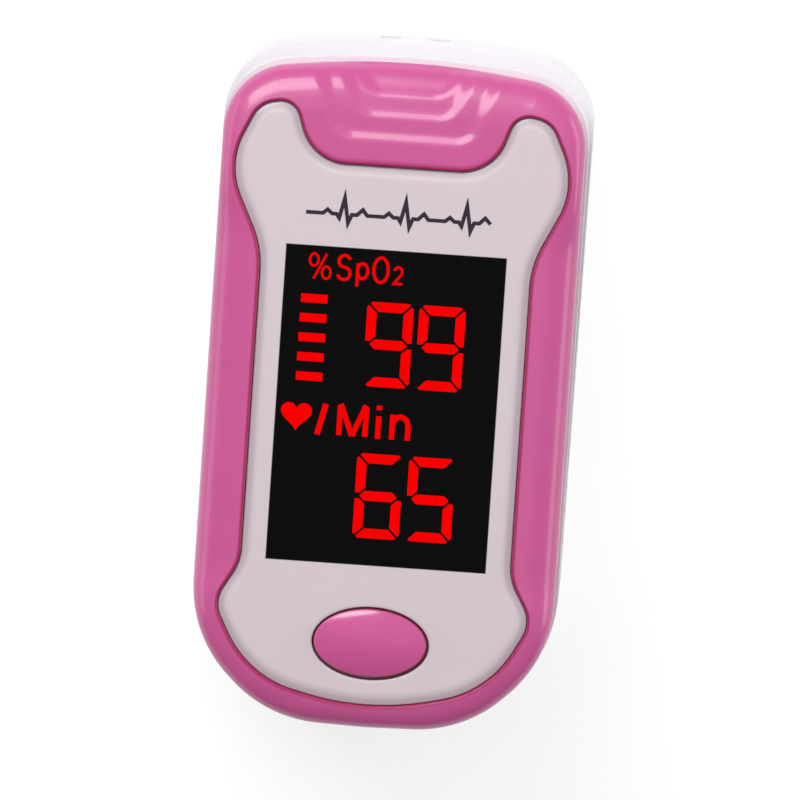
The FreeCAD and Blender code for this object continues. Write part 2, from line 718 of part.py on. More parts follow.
def spring_legs():
    """Each leg's place across the device and its height: one under the pin, one over it."""
    last = coil_start_x + (coil_turns - 1) * coil_pitch
    return [(coil_start_x, pivot_z - coil_mean_radius), (last, pivot_z + coil_mean_radius)]


def leg_slots(upper):
    """Slots that let the springs' legs lie in the floor of a jaw's tail."""
    x, z = spring_legs()[1 if upper else 0]
    half = wire / 2 + 0.15
    low, high = (parting_z - 1, z + half) if upper else (z - half, parting_z + 1)
    slot = block(x - half, x + half, pivot_y, pivot_y + spring_leg + 0.3, low, high)
    return slot.fuse(slot.mirror(V(0, 0, 0), V(1, 0, 0)))


def make_cell(side):
    """AAA cell: can, shoulder and nub in one turned form. The left cell's nub points to the grip end."""
    can = cell_length - nub_length
    start = contact_front_y + spring_room if side < 0 else contact_front_y + cell_length
    axis = V(0, 1, 0) if side < 0 else V(0, -1, 0)
    body = rod(side * cell_x, start, cell_z, cell_radius, can, axis)
    body = body.makeFillet(0.4, [e for e in body.Edges if e.Curve.TypeId == "Part::GeomCircle"])
    nub_start = start + axis.y * (can - 0.1)
    nub = rod(side * cell_x, nub_start, cell_z, nub_radius, nub_length + 0.1, axis)
    return one_solid(body.fuse(nub))


def contact_coil(x, y, direction):
    """Conical contact spring, wide on the contact at y and narrow where the cell presses on it."""
    height = spring_room - contact_wire
    cone = math.degrees(math.atan((coil_base_radius - coil_tip_radius) / height))
    helix = Part.makeHelix(height / 2.5, height, coil_tip_radius, cone)
    section = Part.Wire(Part.makeCircle(contact_wire / 2, V(coil_tip_radius, 0, 0), V(0, 1, 0)))
    coil = Part.Wire(helix).makePipeShell([section], True, True)
    coil.rotate(V(0, 0, 0), V(1, 0, 0), 90 if direction > 0 else -90)
    tip = spring_room - contact_wire / 2 - 0.1
    coil.translate(V(x, y + direction * tip, cell_z))
    base = V(x, y + direction * (tip - height), cell_z)
    closed_turn = Part.makeTorus(coil_base_radius, contact_wire / 2, base, V(0, 1, 0))
    return coil.fuse(closed_turn)


def make_contact_bridge():
    """Bent strip at the mouth end that joins the left cell's minus to the right cell's plus."""
    y = contact_front_y
    strip = block(-bay_half_x + 0.6, bay_half_x - 0.6, y - contact_thick, y, cell_z - 3.2, cell_z + 3.2)
    return one_solid(strip.fuse(contact_coil(-cell_x, y, 1)))


def make_contact(side):
    """Single contact at the grip end: a plate on the left, a plate with a spring on the right."""
    y = contact_back_y
    x = side * cell_x
    plate_shape = block(x - 3.8, x + 3.8, y, y + contact_thick, cell_z - 3.2, cell_z + 3.2)
    if side > 0:
        plate_shape = plate_shape.fuse(contact_coil(x, y, -1))
    return one_solid(plate_shape)


def make_ribbon_cable():
    """Flat cable from the emitter board, between the cells and past the pin to the main board."""
    y_up = pivot_y - pin_radius - 1.1
    low_z = emitter_board_z() + 0.4 + ribbon_thick / 2
    start = V(0, sensor_y + 4.6, low_z)
    knee = V(0, y_up - 1.2, low_z)
    path = Part.Wire([
        Part.LineSegment(start, knee).toShape(),
        Part.Arc(knee, V(0, y_up - 0.35, low_z + 0.35), V(0, y_up, low_z + 1.2)).toShape(),
        Part.LineSegment(V(0, y_up, low_z + 1.2), V(0, y_up, board_bottom_z - 0.05)).toShape(),
    ])
    half_t = ribbon_thick / 2
    half_w = ribbon_width / 2
    ring = [V(-half_w, start.y, low_z - half_t), V(half_w, start.y, low_z - half_t),
            V(half_w, start.y, low_z + half_t), V(-half_w, start.y, low_z + half_t)]
    return path.makePipeShell([Part.makePolygon(ring + ring[:1])], True, True)


# ================================================================ the assembly
PIECES = {
    "upper_cover": make_upper_cover,
    "upper_frame": make_upper_frame,
    "upper_finger_pad": lambda: make_pad(channel_up),
    "detector_window": lambda: make_window(channel_up),
    "front_panel": make_front_panel,
    "panel_adhesive": make_panel_adhesive,
    "power_button": make_power_button,
    "tact_switch": make_tact_switch,
    "switch_plunger": make_switch_plunger,
    "main_board": make_main_board,
    "led_display": make_led_display,
    "board_chips": make_chips,
    "photo_detector": make_photo_detector,
    "upper_screws": lambda: make_screws(True),
    "lower_cover": make_lower_cover,
    "battery_door": make_battery_door,
    "lower_tray": make_lower_tray,
    "lower_finger_pad": lambda: make_pad(-channel_down),
    "emitter_window": lambda: make_window(-channel_down),
    "emitter_board": make_emitter_board,
    "emitter_led": make_emitter_led,
    "lower_screws": lambda: make_screws(False),
    "pivot_pin": make_pivot_pin,
    "jaw_spring_left": lambda: make_spring(-1),
    "jaw_spring_right": lambda: make_spring(1),
    "battery_left": lambda: make_cell(-1),
    "battery_right": lambda: make_cell(1),
    "contact_bridge": make_contact_bridge,
    "contact_positive": lambda: make_contact(-1),
    "contact_negative": lambda: make_contact(1),
    "ribbon_cable": make_ribbon_cable,
}


def main():
    os.makedirs("parts", exist_ok=True)
    for name, make in PIECES.items():
        made = make()
        shape = Part.makeCompound(made) if isinstance(made, list) else made
        print(name, len(shape.Solids), round(shape.Volume, 1), shape.isValid())
        shape.exportStep(f"parts/{name}.step")


main()
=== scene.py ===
import math

import bmesh
import bpy
import numpy as np
from mathutils import Matrix, Vector
from mathutils.geometry import tessellate_polygon


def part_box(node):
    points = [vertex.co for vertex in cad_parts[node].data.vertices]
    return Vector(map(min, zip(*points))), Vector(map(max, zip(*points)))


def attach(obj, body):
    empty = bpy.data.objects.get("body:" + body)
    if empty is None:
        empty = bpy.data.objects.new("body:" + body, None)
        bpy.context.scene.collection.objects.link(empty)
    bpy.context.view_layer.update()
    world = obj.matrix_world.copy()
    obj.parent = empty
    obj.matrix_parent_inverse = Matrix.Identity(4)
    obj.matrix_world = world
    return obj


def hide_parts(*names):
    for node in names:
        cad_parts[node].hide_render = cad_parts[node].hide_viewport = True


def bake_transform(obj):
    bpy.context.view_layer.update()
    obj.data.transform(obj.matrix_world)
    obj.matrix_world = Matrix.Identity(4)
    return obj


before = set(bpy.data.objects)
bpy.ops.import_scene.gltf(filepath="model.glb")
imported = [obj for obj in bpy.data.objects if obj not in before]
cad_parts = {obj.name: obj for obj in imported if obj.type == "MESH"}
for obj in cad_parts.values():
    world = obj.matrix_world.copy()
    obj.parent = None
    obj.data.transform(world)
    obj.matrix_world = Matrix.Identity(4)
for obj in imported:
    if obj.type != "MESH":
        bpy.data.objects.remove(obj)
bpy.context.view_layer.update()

MM = 0.001
UPPER, LOWER, BUTTON = "upper_jaw", "lower_jaw", "button"


def mm_box(node):
    """Lowest and highest corner of a node, in millimetres."""
    low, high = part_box(node)
    return np.array(low) / MM, np.array(high) / MM


# -------- sizes taken from the frame
cover_low, cover_high = mm_box("upper_cover")
panel_low, panel_high = mm_box("front_panel")
button_low, button_high = mm_box("power_button")
lower_low, lower_high = mm_box("lower_cover")
display_low, display_high = mm_box("led_display")
pin_low, pin_high = mm_box("pivot_pin")
cover_half = cover_high[0]
cover_front, cover_back = cover_low[1], cover_high[1]
cover_top = cover_high[2]
panel_top = panel_high[2]
display_centre = (display_low + display_high) / 2
pivot = (pin_low + pin_high) / 2

# -------- sizes of the looks
cover_depth = 7.0  # how far the pink cover's skirt reaches down
wall = 1.4  # thickness of the skirt
skirt_draft = 0.42  # how far the skirt draws in towards its lower edge
roll_reach = 4.2  # how far in from its side the cover's top starts to roll over
roll_drop = 2.3  # how far it comes down before the side goes straight down
band_of_radius, band_of_reach = 0.7, 0.6  # shares of the band beside the panel that limit the roll-over
pocket_gap = 0.05  # dark gap between the cover and the panel
pocket_edge = 0.24  # rounding of the cover's edge at that gap
pocket_depth = 1.7
button_a, button_b = 5.1, 3.15  # half widths of the button's oval
button_y = (button_low[1] + button_high[1]) / 2
button_gap = 0.07
button_lean = np.array((-0.03, 0.09))  # its crown sits off the middle, so the bevel is wider at the mouth
grip_corner = 0.9  # inner corners of the grip's steps
grip_front = 22.7  # the grip's first step; the others follow at the pitch
grip_pitch = 2.0
grip_halves = (5.7, 4.1, 3.4)
grip_splay = 0.38  # how fast the steps widen towards the grip end
grip_leg_slope = 0.75  # the steps come down this much more gently at their sides
grip_drop = 0.30  # height of one step
grip_riser = 1.15  # how long each step takes to come down
lens_bevel = 0.95
lens_bevel_drop = 0.14
screen_size = (19.5, 28.0)
digit_width, digit_height, digit_pitch = 4.1, 7.5, 4.6
digit_stroke, digit_gap, digit_blunt = 0.86, 0.19, 0.32
display_z, display_film = panel_top + 0.002, 0.012
mouth_radius, mouth_corner_radius = 40.0, 11.5  # plan of the shells at the mouth
grip_end_slope = math.radians(7.2)  # how much the grip end's sides fall back
pad_wall = 1.1
pad_hole = (2.15, 3.15)  # half width and half length of the hole over a window
rib_start, rib_end, rib_pitch, rib_depth = -27.5, -10.6, 1.5, 0.14
track_pitch = 0.8  # copper tracks of the ribbon


# ======== outlines
def unit(v):
    """Each row divided by its length."""
    return v / np.linalg.norm(v, axis=-1, keepdims=True)


def trace(corners, offset=0.0, spacing=0.3):
    """Closed line of straight sides joined by tangent arcs, moved outwards by offset.

    Every side moves along its outward normal and every arc keeps its centre, so an outward corner's radius
    grows by the offset and an inward one's shrinks. The number of points doesn't depend on the offset, so
    that lines at different offsets match point for point.
    """
    least_radius = 0.02
    table = np.array(corners, float)
    spacing = np.broadcast_to(spacing, len(table))
    point, radius = table[:, :2], table[:, 2]
    run_in = unit(point - np.roll(point, 1, 0))
    run_out = np.roll(run_in, -1, 0)
    normal_in = np.stack([run_in[:, 1], -run_in[:, 0]], 1)
    normal_out = np.roll(normal_in, -1, 0)
    cosine = (run_in * run_out).sum(1)
    turn = np.sign(run_in[:, 0] * run_out[:, 1] - run_in[:, 1] * run_out[:, 0])
    angle = np.arccos(np.clip(cosine, -1, 1))

    def ends(distance):
        corner = point + (normal_in + normal_out) * (distance / (1 + cosine))[:, None]
        bend = np.maximum(radius + turn * distance, least_radius)
        reach = (bend * np.tan(angle / 2))[:, None]
        return corner - run_in * reach, corner + run_out * reach, bend

    start0, end0, bend0 = ends(0.0)
    arc_count = np.maximum(np.ceil(bend0 * angle / spacing).astype(int), 4)
    side_length = np.linalg.norm(np.roll(start0, -1, 0) - end0, axis=1)
    side_count = np.maximum(np.ceil(side_length / spacing).astype(int), 1)
    start, end, bend = ends(offset)
    line = []
    for k in range(len(table)):
        centre = start[k] - normal_in[k] * bend[k] * turn[k]
        sweep = turn[k] * angle[k] * np.linspace(0, 1, arc_count[k] + 1)
        spoke = start[k] - centre
        line.append(np.stack([
            centre[0] + spoke[0] * np.cos(sweep) - spoke[1] * np.sin(sweep),
            centre[1] + spoke[0] * np.sin(sweep) + spoke[1] * np.cos(sweep)], 1))
        onward = start[(k + 1) % len(table)]
        share = np.linspace(0, 1, side_count[k] + 1)[1:-1, None]
        line.append(end[k] * (1 - share) + onward * share)
    return np.concatenate(line)


def both_sides(half):
    """A full outline from its right half, listed from the front middle to the back middle."""
    return half + [(-x, y, r) for x, y, r in reversed(half) if abs(x) > 1e-6]


def body_corners(half_front, half_back, y_front, y_back, r_back):
    """Plan shape of the shells: a full round at the mouth, and a bowed grip end with rounder corners."""
    slope = grip_end_slope
    reach = r_back * math.tan((math.pi / 2 - slope) / 2)
    bow = 0.95 * (half_back / math.cos(slope) - reach) / math.tan(slope)
    tip = y_back + bow * (1 / math.cos(slope) - 1)
    return both_sides([
        (0, y_front - 0.009, mouth_radius),
        (half_front - 7.3, y_front + 0.18, mouth_corner_radius),
        (half_front, y_front + 7.2, mouth_corner_radius),
        (half_back, tip - half_back * math.tan(slope), r_back),
        (0, tip, bow),
    ])


cover_corners = body_corners(cover_half, cover_half, cover_front, cover_back, 6.0)
# Narrow beside the screen, wider at the button and at the two horns round the grip's bay.
panel_corners = both_sides([
    (0, cover_front + 1.5, 23.6),
    (cover_half - 5.4, cover_front + 4.0, 9.3),
    (cover_half - 1.95, cover_front + 10.4, 2.8),
    (cover_half - 4.1, cover_front + 14.1, 4.8),
    (cover_half - 4.1, cover_back - 16.9, 8.9),
    (cover_half - 0.6, cover_back - 9.7, 6.6),
    (cover_half - 3.16, cover_back - 4.2, 2.4),
    (cover_half - 6.2, cover_back - 3.7, 1.7),
    (8.0, cover_back - 9.1, 4.2),
])


# ======== meshes
def make_piece(name, points, faces, finish, body, stands_for=None, smooth=True):
    """Mesh piece from points in millimetres; it rides on its body when one is given."""
    mesh = bpy.data.meshes.new(name)
    mesh.from_pydata((np.asarray(points) * MM).tolist(), [], faces)
    mesh.validate()
    if smooth:
        mesh.shade_smooth()
    piece = bpy.data.objects.new(name, mesh)
    bpy.context.scene.collection.objects.link(piece)
    mesh.materials.append(finish.material)
    if body:
        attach(piece, body)
    if stands_for:
        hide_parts(stands_for)
    return piece


def ring_faces(ring_count, per_ring, closed_rings=False):
    """Quads between rings of equally many points, wound so that rings listed outside-up face outwards."""
    j = np.arange(ring_count if closed_rings else ring_count - 1)[:, None]
    i = np.arange(per_ring)[None, :]
    here, up = j * per_ring, ((j + 1) % ring_count) * per_ring
    right = (i + 1) % per_ring
    quads = np.stack(np.broadcast_arrays(here + i, here + right, up + right, up + i), -1)
    return quads.reshape(-1, 4).tolist()


def ring(line, z):
    """Points of a flat line, each lifted to its z."""
    return np.column_stack([line, np.broadcast_to(z, len(line))])


def fan(per_ring, first, hub):
    """Triangles between the points of a ring, the first of which is given, and the hub."""
    here = np.arange(per_ring)
    return np.column_stack([first + here, first + (here + 1) % per_ring, np.full(per_ring, hub)])


def smoothstep(t):
    """3 t squared minus 2 t cubed, held at 0 below 0 and at 1 above 1."""
    t = np.clip(t, 0, 1)
    return t * t * (3 - 2 * t)


# ======== finishes
class Amount:
    """A value that varies over a surface; arithmetic on it adds its Math nodes."""

    def __init__(self, socket):
        self.socket = socket

    def math(self, operation, *others, clamp=False):
        tree = self.socket.id_data
        node = tree.nodes.new("ShaderNodeMath")
        node.operation = operation
        node.use_clamp = clamp
        for place, value in zip(node.inputs, others):
            plug(place, value)
        return Amount(node.outputs[0])

    def __add__(self, other):
        return self.math("ADD", self, other)

    __radd__ = __add__

    def __sub__(self, other):
        return self.math("SUBTRACT", self, other)

    def __rsub__(self, other):
        return self.math("SUBTRACT", other, self)

    def __mul__(self, other):
        return self.math("MULTIPLY", self, other)

    __rmul__ = __mul__

    def __truediv__(self, other):
        return self.math("DIVIDE", self, other)

    def __abs__(self):
        return self.math("ABSOLUTE", self)

    def least(self, other):
        return self.math("MINIMUM", self, other)

    def wave(self):
        return self.math("SINE", self)

    def above(self, edge, width):
        """0 below the edge and 1 above it, with a slope of that width between."""
        return self.math("ADD", (self - edge) / width, 0.5, clamp=True)


def plug(place, value):
    """Sets a socket to a constant or links it to an Amount or another socket."""
    if isinstance(value, Amount):
        value = value.socket
    if isinstance(value, bpy.types.NodeSocket):
        place.id_data.links.new(value, place)
    elif isinstance(value, tuple) and len(value) == 3 and place.type == "RGBA":
        place.default_value = (*value, 1.0)
    else:
        place.default_value = value


class Finish:
    """A material on one Principled shader, with patterns in millimetres of the frame."""

    def __init__(self, name, **constants):
        self.material = bpy.data.materials.new(name)
        self.material.use_nodes = True
        self.tree = self.material.node_tree
        self.shader = self.tree.nodes["Principled BSDF"]
        self.set(**constants)
        self.place = self.node("ShaderNodeTexCoord").outputs["Object"]

    def set(self, **values):
        """Sets or links sockets of the shader; a name's underscores stand for spaces."""
        for name, value in values.items():
            plug(self.shader.inputs[name.replace("_", " ")], value)

    def node(self, kind, settings=None, sockets=None):
        """Adds a node with its settings first, then the values or links of its sockets."""
        made = self.tree.nodes.new(kind)
        for setting, value in (settings or {}).items():
            setattr(made, setting, value)
        for socket, value in (sockets or {}).items():
            plug(made.inputs[socket], value)
        return made

    def axes(self):
        """x, y and z over the surface, in millimetres."""
        split = self.node("ShaderNodeSeparateXYZ", sockets={0: self.place})
        return [Amount(out) / MM for out in split.outputs]

    def noise(self, size, detail=3.0, roughness=0.5, stretch=(1.0, 1.0, 1.0)):
        """Noise from 0 to 1 with lumps about size millimetres across, longer along an axis by its stretch."""
        scaled = self.node("ShaderNodeMapping", sockets={
            "Vector": self.place, "Scale": tuple(1 / s for s in stretch)})
        made = self.node("ShaderNodeTexNoise", sockets={
            "Vector": scaled.outputs[0], "Scale": 1 / (size * MM), "Detail": detail, "Roughness": roughness})
        return Amount(made.outputs["Fac"])

    def mix(self, share, low, high):
        """Colour that goes from low to high with the share."""
        made = self.node("ShaderNodeMix", {"data_type": "RGBA"}, {"Factor": share})
        plug(made.inputs[6], low)
        plug(made.inputs[7], high)
        return made.outputs[2]

    def bump(self, height, depth):
        """Relief from a height of 0 to 1 that stands depth millimetres tall."""
        made = self.node("ShaderNodeBump", sockets={
            "Height": height, "Distance": depth * MM, "Strength": 1.0})
        self.set(Normal=made.outputs[0])


def shade(colour, share):
    """A colour dimmed to a share of itself."""
    return tuple(share * c for c in colour)


def plastic(name, colour, tint=0.06, peel=0.004):
    """Plastic with fine orange peel, its slightly mottled colour and a roughness that varies by 0.08."""
    finish = Finish(name, Coat_Roughness=0.08)
    grain = finish.noise(0.5)
    finish.bump(finish.noise(0.9, 1.0) * 0.6 + grain * 0.4, peel)
    return finish, finish.mix(finish.noise(5.0, 2.0), shade(colour, 1 - tint), colour), grain * 0.08


def moulded(name, colour, roughness, coat=0.0, **surface):
    """Moulded plastic of one gloss."""
    finish, mottled, grain = plastic(name, colour, **surface)
    finish.set(Base_Color=mottled, Roughness=grain + (roughness - 0.04), Coat_Weight=coat)
    return finish


def cover_finish():
    """Glossy pink moulding, duller on its sides, with shade painted in deep pink where it turns into the
    pocket.
    """
    finish, mottled, grain = plastic("pink_cover_moulding", pink_colour)
    x, y, z = finish.axes()
    skirt = 1 - z.above(cover_top - roll_drop - 0.1, 0.7)
    # Painted shade: towards the pocket's edge the colour goes to a deep pink, standing in for the shade in
    # the gap at the panel.
    pocket = Amount(finish.node("ShaderNodeAttribute", {"attribute_name": "pocket_shade_share"}).outputs["Fac"])
    finish.set(
        Base_Color=finish.mix(pocket * 0.85, mottled, painted_shade_pink),
        Roughness=grain + skirt * 0.35 + 0.26,
        Coat_Weight=(1 - skirt) * (1 - pocket) * 0.35,
    )
    return finish


def button_finish(shoulder):
    """Polished pink crown over a bevel with shade painted on it in deep crimson."""
    finish, mottled, grain = plastic("button_cap_moulding", button_colour, peel=0.001)
    x, y, z = finish.axes()
    crown = z.above(shoulder - 0.06, 0.05)
    finish.set(
        # Painted shade: below the crown the bevel takes a deep crimson instead of the pink.
        Base_Color=finish.mix(crown, painted_shade_crimson, mottled),
        Roughness=grain - crown * 0.25 + 0.37,
        Coat_Weight=crown * 0.8,
    )
    return finish


def printed_lens_finish():
    """Clear panel, silver-lilac print behind it, a black screen window and painted shade darkening the
    chamfered edge.
    """
    finish = Finish("printed_lens_finish", Coat_Roughness=0.03, Coat_IOR=1.49)
    x, y, z = finish.axes()
    flake = finish.noise(0.06, 1.0)
    cloud = finish.noise(14.0, 2.0)
    across = screen_size[0] / 2 - abs(x - display_centre[0])
    along = screen_size[1] / 2 - abs(y - display_centre[1])
    window = across.least(along).above(0.0, 0.08)
    # Painted shade: the print is darkened on the chamfer round the panel's edge.
    edge = 1 - z.above(panel_top - lens_bevel_drop / 2, 0.06)
    print_and_chamfer_shade = finish.mix(flake * 0.6 + cloud * 0.4, (0.60, 0.52, 0.555), (0.69, 0.60, 0.64))
    print_and_chamfer_shade = finish.mix(edge * 0.75, print_and_chamfer_shade, (0.46, 0.39, 0.43))
    finish.set(
        Base_Color=finish.mix(window, print_and_chamfer_shade, (0.0022, 0.0022, 0.0026)),
        Roughness=window * -0.26 + flake * 0.1 + 0.38,
        Coat_Weight=0.55,
    )
    finish.bump(cloud, 0.01)
    return finish


def glowing(name, colour, strength):
    """Lit display segment: an even glow with the faint speckle of the diffuser."""
    finish = Finish(name, Roughness=0.6, Emission_Strength=strength, Specular_IOR_Level=0.0)
    speckle = finish.noise(0.15, 2.0)
    finish.set(
        Base_Color=finish.mix(speckle, (0.01, 0.0, 0.0), (0.02, 0.0, 0.0)),
        Emission_Color=finish.mix(speckle, shade(colour, 0.93), colour),
    )
    return finish


def metal(name, colour, roughness, stretch=(1.0, 1.0, 1.0), depth=0.002):
    """Bare metal with fine drawn or rolled lines."""
    finish = Finish(name, Metallic=1.0)
    lines = finish.noise(0.15, 4.0, 0.6, stretch)
    stain = finish.noise(3.0, 2.0)
    finish.set(
        Base_Color=finish.mix(stain, shade(colour, 0.86), colour),
        Roughness=lines * 0.22 + (roughness - 0.1),
    )
    finish.bump(lines, depth)
    return finish


def rubber(name, colour, roughness):
    """Soft silicone: dull, faintly dusty, with a very fine matt texture."""
    finish = Finish(name, Subsurface_Weight=0.15, Subsurface_Radius=(0.002, 0.0015, 0.0015),
                    Subsurface_Scale=1.0, Sheen_Weight=0.15)
    dust = finish.noise(2.5, 4.0, 0.6)
    matt = finish.noise(0.12, 2.0)
    finish.set(
        Base_Color=finish.mix(dust, shade(colour, 0.9), colour),
        Roughness=matt * 0.15 + (roughness - 0.07),
    )
    finish.bump(matt, 0.006)
    return finish


def clear_window(name, colour):
    """Tinted clear epoxy with a soft inner haze."""
    finish = Finish(name, Transmission_Weight=0.5, IOR=1.5)
    haze = finish.noise(1.2)
    finish.set(Base_Color=finish.mix(haze, shade(colour, 0.8), colour), Roughness=haze * 0.12 + 0.08)
    finish.bump(haze, 0.01)
    return finish


def circuit_board_finish():
    """Green solder mask over broken copper runs 1.2 mm apart, with a texture of glass woven at 0.25 mm."""
    run_rate, weave_rate = 5.2, 25.0        # radians per millimetre
    finish = Finish("circuit_board_finish")
    x, y, z = finish.axes()
    lanes = (x * run_rate).wave().above(0.55, 0.25)
    breaks = finish.noise(3.2, 0.0).above(0.5, 0.04)
    weave = (x * weave_rate).wave() * (y * weave_rate).wave()
    runs = lanes * breaks
    finish.set(
        Base_Color=finish.mix(runs, (0.010, 0.085, 0.035), (0.022, 0.19, 0.07)),
        Roughness=weave * 0.03 + 0.34,
    )
    finish.bump(runs * 0.9 + weave * 0.1, 0.03)
    return finish


def cell_finish(left, right):
    """Dry cell: printed sleeve in two plain bands, bare metal at the shoulder, nub and foot.

    The sleeve and its band are placed by the distance from the foot, which is at the mouth end of the left
    cell and at the grip end of the right one.
    """
    sleeve_start, sleeve_end, band_start, edge = 0.6, 43.4, 31.0, 0.1
    finish = Finish("cell_sleeve")
    x, y, z = finish.axes()
    side = x.above(0.0, 0.05)
    along = (1 - side) * (y - left[0]) + side * (right[1] - y)
    sleeve = along.above(sleeve_start, edge) * (1 - along.above(sleeve_end, edge))
    band = along.above(band_start, edge)
    scuff = finish.noise(1.5, 4.0, 0.6)
    paint = finish.mix(band, (0.012, 0.013, 0.016), (0.62, 0.30, 0.10))
    paint = finish.mix(scuff * 0.15, paint, (0.3, 0.3, 0.3))
    finish.set(
        Base_Color=finish.mix(sleeve, (0.72, 0.71, 0.69), paint),
        Metallic=1 - sleeve * 0.7,
        Roughness=scuff * 0.15 + 0.22,
    )
    finish.bump(scuff, 0.004)
    return finish


def ribbon_finish():
    """Amber film with copper tracks showing through in parallel lines."""
    finish = Finish("ribbon_film")
    x, y, z = finish.axes()
    track = (x * (2 * math.pi / track_pitch)).wave().above(0.1, 0.3)
    haze = finish.noise(1.0)
    film = finish.mix(haze, (0.33, 0.13, 0.025), (0.42, 0.19, 0.045))
    finish.set(Base_Color=finish.mix(track, film, (0.58, 0.27, 0.10)), Roughness=haze * 0.15 + 0.25)
    finish.bump(track, 0.02)
    return finish


def speckled(name, colour, other, size, roughness, depth=0.01):
    """Compound or foam with a two-tone grain."""
    finish = Finish(name)
    grain = finish.noise(size, 4.0, 0.6)
    finish.set(Base_Color=finish.mix(grain, colour, other), Roughness=grain * 0.2 + (roughness - 0.1))
    finish.bump(grain, depth)
    return finish


pink_colour, button_colour = (0.60, 0.105, 0.305), (0.62, 0.105, 0.31)
# Painted shade: a deep pink for the cover's edge at the panel's gap, a crimson for the button's bevel.
painted_shade_pink, painted_shade_crimson = (0.33, 0.008, 0.08), (0.19, 0.001, 0.026)
lens = printed_lens_finish()
lit_red = glowing("lit_red", (1.0, 0.0, 0.0), 1.0)
ink = speckled("dark_ink", (0.022, 0.012, 0.022), (0.04, 0.022, 0.04), 0.2, 0.45, 0.001)
silicone = rubber("silicone_rubber", (0.105, 0.108, 0.127), 0.55)
drawn_steel = metal("drawn_steel", (0.60, 0.60, 0.61), 0.30, (6.0, 1.0, 1.0))
ribbon_film = ribbon_finish()
left_low, left_high = mm_box("battery_left")
right_low, right_high = mm_box("battery_right")
finish_of_slot = {
    "pink_plastic": moulded("pink_moulding", pink_colour, 0.30, coat=0.35),
    "white_plastic": moulded("white_moulding", (0.76, 0.73, 0.77), 0.32, tint=0.03, coat=0.15),
    "printed_lens": lens,
    "button_pink": moulded("button_moulding", button_colour, 0.16, peel=0.001, coat=0.8),
    "adhesive": speckled("foam_tape", (0.02, 0.02, 0.022), (0.05, 0.05, 0.055), 0.15, 0.85, 0.03),
    "display_black": speckled("display_resin", (0.004, 0.004, 0.005), (0.010, 0.010, 0.012), 0.3, 0.5),
    "circuit_board": circuit_board_finish(),
    "chip_black": speckled("chip_compound", (0.008, 0.008, 0.009), (0.024, 0.024, 0.026), 0.12, 0.55),
    "switch_black": speckled("switch_resin", (0.012, 0.012, 0.014), (0.03, 0.03, 0.034), 0.4, 0.5),
    "plunger_plastic": moulded("plunger_moulding", (0.55, 0.54, 0.52), 0.4),
    "silicone": silicone,
    "window_clear": clear_window("tinted_window", (0.30, 0.045, 0.05)),
    "diode_epoxy": clear_window("diode_resin", (0.75, 0.72, 0.62)),
    "steel": drawn_steel,
    "screw_steel": metal("screw_steel_finish", (0.42, 0.41, 0.40), 0.36),
    "contact_nickel": metal("contact_nickel_finish", (0.70, 0.67, 0.60), 0.26, (1.0, 1.0, 4.0)),
    "cell_wrap": cell_finish((left_low[1], left_high[1]), (right_low[1], right_high[1])),
    "ribbon_tan": ribbon_film,
}
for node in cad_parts.values():
    for place in node.material_slots:
        place.material = finish_of_slot[place.material.name.split(".")[0]].material


# ======== pink cover
def grip_fall(x, y):
    """How far the cover's top has come down in the grip, in millimetres.

    Each of three nested trapezoids, open at the grip end and with rounded inner corners, lowers the top by
    one step: a point's depth inside the trapezoid goes through a smooth step as long as the riser.
    """
    fall = 0.0
    for level, half in enumerate(grip_halves):
        front = grip_front + level * grip_pitch
        ahead = grip_corner - (y - front)
        aside = grip_corner - grip_leg_slope * (half + grip_splay * (y - front) - np.abs(x))
        outside = np.hypot(np.maximum(ahead, 0), np.maximum(aside, 0))
        outside = outside + np.minimum(np.maximum(ahead, aside), 0)
        fall = fall + grip_drop * smoothstep((grip_corner - outside) / grip_riser + 0.5)
    return fall


def nearest_on(line, points):
    """Index of the point of a closed line nearest to each of the points."""
    return np.linalg.norm(points[:, None] - line[None], axis=2).argmin(1)


def run_along(points):
    """Length of a line up to each of its points."""
    return np.concatenate([[0.0], np.cumsum(np.linalg.norm(np.diff(points, axis=0), axis=1))])


def partners(inner, outer):
    """For each point of the inner line, the share of the outer line's length where its partner lies.

    The partner is the nearest point, except from the top of one horn through the bay to the top of the other,
    where the partners are spread evenly, so that the lines between them fan out over the grip.
    """
    along = run_along(np.vstack([outer, outer[:1]]))
    share = along[nearest_on(outer, inner)] / along[-1]
    share = np.where(share - np.linspace(0, 1, len(share)) > 0.5, share - 1, share)
    horn_right = np.argmax(np.where(inner[:, 0] > 0, inner[:, 1], -np.inf))
    horn_left = np.argmax(np.where(inner[:, 0] < 0, inner[:, 1], -np.inf))
    span = np.arange(horn_right, horn_left + 1)
    run = run_along(inner[span])
    share[span] = share[horn_right] + (share[horn_left] - share[horn_right]) * run / run[-1]
    return share


def depth_inside(points, line):
    """Distance from each point to the nearest run of a closed line."""
    onward = np.roll(line, -1, 0) - line
    apart = points[:, None] - line[None]
    along = np.clip((apart * onward).sum(2) / (onward ** 2).sum(1), 0, 1)
    return np.linalg.norm(apart - along[:, :, None] * onward, axis=2).min(1)


def along_line(line, share):
    """Points at the given shares of a closed line's length."""
    closed = np.vstack([line, line[:1]])
    run = run_along(closed)
    want = np.mod(share, 1.0) * run[-1]
    return np.column_stack([np.interp(want, run, closed[:, 0]), np.interp(want, run, closed[:, 1])])


def softened(values, reach):
    """Running mean of values round a closed line, over that many neighbours on either side."""
    kernel = np.hanning(2 * reach + 1)
    wrapped = np.concatenate([values[-reach:], values, values[:reach]])
    return np.convolve(wrapped, kernel / kernel.sum(), mode="valid")


